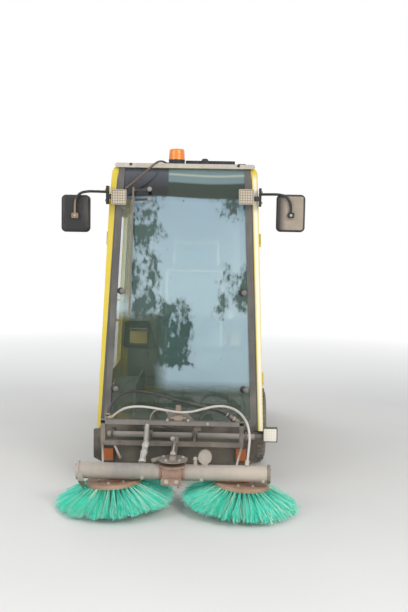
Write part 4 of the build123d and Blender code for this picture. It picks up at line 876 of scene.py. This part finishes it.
# Strut
# Bright rod in a coil above, and below it a sleeve of crumpled foil over the spring's foot.
foil_bright, foil_dull = (0.52, 0.50, 0.47), (0.36, 0.34, 0.31)
foil = weathered("strut_foil", foil_bright, foil_dull, 0.42, dust=0.35, wear=0.5, metallic=0.25, grain=0.0012)
strut_top, strut_waist, strut_foot = (-176, -1100, 432), (-176, -1182, 344), (-186, -1300, 262)
coil_turns, coil_steps, coil_r = 11, 8, 13.5


def crumpled(start, end, r, swell, rows, sides, finish):
    start, end = Vector(start) / 1000, Vector(end) / 1000
    form = bmesh.new()
    rings = []
    for row in range(rows + 1):
        share = row / rows
        ring = []
        for number in range(sides):
            turn = 2 * math.pi * number / sides
            fold = noise.noise(Vector((share * 9, math.cos(turn) * 1.3, math.sin(turn) * 1.3)))
            crease = abs(noise.noise(Vector((share * 22, turn * 1.7, 4.0))))
            out = (r + swell * (fold * 0.6 + math.sin(share * math.pi * 5) * 0.35 - crease * 0.5)) / 1000
            spot = (math.cos(turn) * out, math.sin(turn) * out, share * (end - start).length)
            ring.append(form.verts.new(spot))
        rings.append(ring)
    for low_ring, high_ring in zip(rings, rings[1:]):
        for number in range(sides):
            after = (number + 1) % sides
            form.faces.new((low_ring[number], low_ring[after], high_ring[after], high_ring[number]))
    form.faces.new(rings[0][::-1])
    form.faces.new(rings[-1])
    return laid(formed("crumpled_sleeve", form), between(start, end), finish)


coil_points = []
run = (Vector(strut_waist) - Vector(strut_top)).normalized()
across_run = run.cross(Vector((1, 0, 0))).normalized()
for number in range(coil_steps * coil_turns + 1):
    turn = number / coil_steps * 2 * math.pi
    middle = Vector(strut_top).lerp(Vector(strut_waist), 0.06 + 0.88 * number / (coil_steps * coil_turns))
    coil_points.append(middle + (Vector((1, 0, 0)) * math.cos(turn) + across_run * math.sin(turn)) * coil_r)
spring = ringed_sleeve("coil", coil_points, 0.0024, 0.02, 0.0, foil)
sleeve_low = crumpled(strut_waist, strut_foot, 18.5, 6.0, 46, 30, foil)
sleeve_high = crumpled(strut_top, strut_waist, 10.5, 1.2, 20, 20, foil)
fit("foil_strut", joined([sleeve_low, sleeve_high, spring]), "brush_gear", "strut_white", "strut")


# Cross tube
# Grey painted pipe with bolted end plates, painted brighter and beige to the machine's left as painted light, with
# painted shade along its under side and rusty castings round the swivel.
pipe_grey, pipe_worn = (0.262, 0.246, 0.228), (0.385, 0.342, 0.297)
pipe = weathered("tube_steel", pipe_grey, pipe_worn, 0.42, dust=0.2, wear=0.7, rust=0.22)
swivel_rust = pipe.mix(pipe.noise(30, 5), (0.16, 0.10, 0.07), (0.44, 0.29, 0.22))
low_flap = pipe.x.over(-0.450, -0.460) * pipe.z.over(0.178, 0.172)
# where, colour: painted light towards the left end, the right end, painted shade on the under side, the end ring,
# the flap and the swivel
for share, colour in (
    (pipe.x.over(0.0, 0.40) * 0.65, (0.58, 0.495, 0.415)),
    (pipe.x.over(-0.30, -0.52) * 0.5, (0.50, 0.42, 0.35)),
    (pipe.z.over(0.205, 0.182) * 0.45, (0.20, 0.165, 0.14)),
    (pipe.x.over(0.507, 0.511) * 0.7, (0.13, 0.095, 0.075)),
    (low_flap, (0.085, 0.085, 0.07)),
    (pipe.x.near(-0.016, 0.068, 0.075), swivel_rust),
):
    pipe.cover(share, colour)
dress(pipe, "cross_tube")
tube_y, tube_z, tube_r, swivel_x = -1330, 222, 45, -13
tube_bolts = []
for x, z in ((-517, 199), (-180, 198), (148, 190), (488, 192)):
    sink = z - tube_z
    facing = (0, -math.sqrt(tube_r**2 - sink**2) / tube_r, sink / tube_r)
    tube_bolts.append(((x, tube_y + facing[1] * tube_r, z), facing, 19))
tube_bolts += [((x, -1396, 184), front, 19) for x in (-44, 12)]
tube_bolts += [((113, tube_y, 298), up, 22), ((swivel_x, tube_y, 326), up, 24)]
tube_bolts += [
    ((swivel_x + 62 * math.cos(turn), tube_y + 62 * math.sin(turn), 298), up, 14) for turn in (0.5, 2.6, 4.1, 5.4)
]
tube_bolts += [
    ((side * x, tube_y + 38 * math.cos(turn), tube_z + 38 * math.sin(turn)), (side, 0, 0), 12)
    for side, x in ((1, 526), (-1, 544)) for turn in (0.6, 1.9, 3.1, 4.4, 5.6)
]
bolted("tube_bolts", zinc, tube_bolts, "brush_gear")


# Brushes
# Pressed steel discs with dark paint worn to rust, bolted to the spindles, and thousands of stiff green plastic
# bristles set in tufts, some bleached pale at random, and more of them pale on the left brush's outer side as
# painted light.
disc_dark, disc_worn = (0.31, 0.175, 0.105), (0.54, 0.335, 0.21)
disc_steel = weathered("disc_steel", disc_dark, disc_worn, 0.5, dust=0.45, wear=0.8, rust=0.7)
dress(disc_steel, "brush_disc_left", "brush_disc_right")
brush_green = Finish("green_bristle", roughness=0.42)
shade = brush_green.attribute("shade")
deep = brush_green.mix(shade, (0.003, 0.27, 0.155), (0.010, 0.72, 0.48))
bright = brush_green.mix(shade, (0.010, 0.90, 0.62), (0.32, 1.0, 0.90))
green = brush_green.mix(brush_green.attribute("along").over(0.0, 0.55), deep, bright)
# pale strands: bleached at random, and as painted light more of them on the left brush's outer side
bleached_and_painted_light = (shade + brush_green.x.over(0.42, 0.66) * 0.16).over(0.80, 0.86)
brush_green.set("Base Color", brush_green.mix(bleached_and_painted_light, green, (0.76, 0.97, 0.80)))
brush_green.bump(brush_green.noise(700, 2), 0.0002)
# name, kind, value: lengths in metres from the disc's middle
bristle_inputs = (
    ("Strands", "Int", 6800), ("Tufts", "Int", 40), ("Root inner", "Float", 0.100), ("Root outer", "Float", 0.149),
    ("Tip inner", "Float", 0.225), ("Tip outer", "Float", 0.352), ("Drop", "Float", 0.127),
    ("Thickness", "Float", 0.0011), ("Seed", "Int", 3), ("Finish", "Material", None),
)
bristles, bristle_keys, entries = new_tree("bristle_ring", [row[:2] for row in bristle_inputs])
entry = dict(zip(bristle_keys, entries))
steps = 4
index = bristles.node("GeometryNodeInputIndex")[0]
strand = (index / (steps + 0.0)).math("FLOOR")
step = (index - strand * steps) / (steps - 1.0)


# a number from 0 to 1 for each strand, or for each value of another group
def chance(offset, group=strand):
    inputs = (None, None, 0.0, 1.0, None, None, None, group, entry["Seed"] + offset)
    return bristles.node("FunctionNodeRandomValue", {"data_type": "FLOAT"}, inputs)[1]


depth = chance(1)
tuft = (chance(2) * entry["Tufts"]).math("FLOOR")
slot_angle = (tuft + 0.5 + (chance(3) - 0.5) * 0.46) / entry["Tufts"] * (2 * math.pi)
loose = (chance(5) - 0.5) * (chance(11) * chance(12)) * 0.34
fan = (chance(4) - 0.5) * 0.10 + loose + (chance(13, tuft) - 0.5) * 0.09
root_r = entry["Root inner"] + (entry["Root outer"] - entry["Root inner"]) * depth
stray = chance(15).math("POWER", 16.0)
worn_off = chance(6) * chance(7)
reach = (depth * 0.42 + (1.0 - worn_off) * 0.35 + chance(14, tuft) * 0.14 + stray * 0.24).clip()
tip_r = entry["Tip inner"] + (entry["Tip outer"] - entry["Tip inner"]) * reach
drop = entry["Drop"] * (1.0 - chance(8) * chance(9) * 0.46)
radius = root_r + (tip_r - root_r) * step.math("POWER", 0.98)
height = (step.math("POWER", 1.05) * (drop - 0.012) + 0.012) * -1.0
angle = slot_angle + fan * step
around = (radius * angle.math("COSINE"), radius * angle.math("SINE"), height)
place = bristles.node("ShaderNodeCombineXYZ", None, around)[0]
points = bristles.node("GeometryNodePoints", None, (entry["Strands"] * steps, place))[0]
stored = {"data_type": "FLOAT", "domain": "POINT"}
for key, value in (("along", step), ("shade", chance(10))):
    points = bristles.node("GeometryNodeStoreNamedAttribute", stored, (points, None, key, value))[0]
strands = bristles.node("GeometryNodePointsToCurves", None, (points, strand))[0]
taper = 1.15 - step * 0.45
strands = bristles.node("GeometryNodeSetCurveRadius", None, (strands, None, taper))[0]
three_sides = {"Resolution": 3, "Radius": entry["Thickness"]}
profile = bristles.node("GeometryNodeCurvePrimitiveCircle", None, (), three_sides)[0]
tubes = bristles.node("GeometryNodeCurveToMesh", None, (strands, profile), {"Scale": taper})[0]
close_tree(bristles, tubes, entry["Finish"])

disc_y, disc_z, disc_bolt_circle, disc_bolt_count = -1.270, 0.158, 84, 6
# side, disc's middle, outward tilt in degrees, seed
for side, x, tilt, seed in (("left", 0.372, 4.5, 3), ("right", -0.344, -4.5, 11)):
    values = {name: value for name, kind, value in bristle_inputs}
    values["Seed"] = seed
    lie = Matrix.Translation((x, disc_y, disc_z)) @ Matrix.Rotation(math.radians(tilt), 4, "Y")
    mesh = grown("bristles_" + side, bristles, bristle_keys, values, brush_green)
    mesh.transform(lie)
    fit("bristle_skirt_" + side, mesh, side + "_brush", "green_bristle", "bristles_" + side)
    rows = []
    for number in range(disc_bolt_count):
        turn = 2 * math.pi * (number + 0.25) / disc_bolt_count
        rows.append(((disc_bolt_circle * math.cos(turn), disc_bolt_circle * math.sin(turn), -0.6), up, 14))
    disc_bolts = set_at("disc_bolts_" + side, bolt, zinc, rows)
    disc_bolts.transform(lie)
    fit("disc_bolts_" + side, disc_bolts, side + "_brush", "grey_steel")


# Engine cover and rear lamps
# Yellow pressed side and back panels over the engine, screwed at their corners, with stacked lamps on the back.
hood_clean, hood_worn = (0.80, 0.60, 0.075), (0.86, 0.72, 0.30)
hood_yellow = weathered("hood_paint", hood_clean, hood_worn, 0.34, dust=0.7, wear=0.4, rust=0.2, coat=0.4)
dress(hood_yellow, "engine_hood")
iron, iron_worn = (0.14, 0.14, 0.145), (0.26, 0.24, 0.22)
engine_iron = weathered("engine_iron", iron, iron_worn, 0.62, dust=0.6, metallic=0.5, rust=0.3)
dress(engine_iron, "engine_block")
tail_red = weathered("red_lens", (0.50, 0.015, 0.012), (0.66, 0.08, 0.05), 0.18, coat=0.5)
middle_lamp = tail_red.z.near(0.636, 0.024, 0.026)
tail_red.cover(middle_lamp, (0.85, 0.30, 0.02))
tail_red.bump((tail_red.z * 1200.0).math("SINE") * 0.5 + (tail_red.x * 1200.0).math("SINE") * 0.5, 0.0006)
dress(tail_red, "rear_lamps")
hood_screws = [((side * 500, y, 735), (side, 0, 0), 14) for side in (-1, 1) for y in (722, 985, 1335, 1578)]
hood_screws += [((side * 500, y, 452), (side, 0, 0), 14) for side in (-1, 1) for y in (722, 1578)]
hood_screws += [((x, 1600, z), back, 14) for x in (-478, 478) for z in (452, 733)]
hood_screws += [((x, 1615, 330 + 60 * row), back, 22) for x in (-430, 430) for row in (0, 1)]
bolted("hood_screws", dark_bolt, hood_screws, "rear_module", "chassis_steel")


# Hopper
# Ribbed grey sheet bin with a hinged back gate on over-centre latches, scuffed and rust-stained round its bolts, and
# the cylinder that tips it.
hopper_grey = weathered("hopper_grey", (0.36, 0.37, 0.37), (0.50, 0.48, 0.44), 0.5, dust=0.5, wear=0.5, rust=0.25)
dress(hopper_grey, "hopper", "hopper_door")
cylinder_black = weathered("cylinder_black", (0.03, 0.03, 0.03), (0.1, 0.09, 0.08), 0.4, dust=0.5)
dress(cylinder_black, "tip_barrel")
chrome = weathered("chrome_rod", (0.74, 0.75, 0.76), (0.60, 0.58, 0.55), 0.12, dust=0.15, metallic=1.0, grain=0.00005)
dress(chrome, "tip_rod")
rib_places = (700, 900, 1100, 1300, 1480)
bin_bolts = [((side * 510, y, z), (side, 0, 0), 13) for side in (-1, 1) for y in rib_places for z in (872, 1718)]
bolted("bin_bolts", dark_bolt, bin_bolts, "tipping_hopper")
gate_bolts = [((x, 1596, z), back, 13) for x in (-425, 0, 425) for z in (930, 1220, 1510)]
gate_bolts += [((side * 400, 1604, 822), back, 16) for side in (-1, 1)]
bolted("gate_bolts", dark_bolt, gate_bolts, "hopper_tailgate")
for pattern in (bolt, lug, gauge):
    bpy.data.objects.remove(pattern)
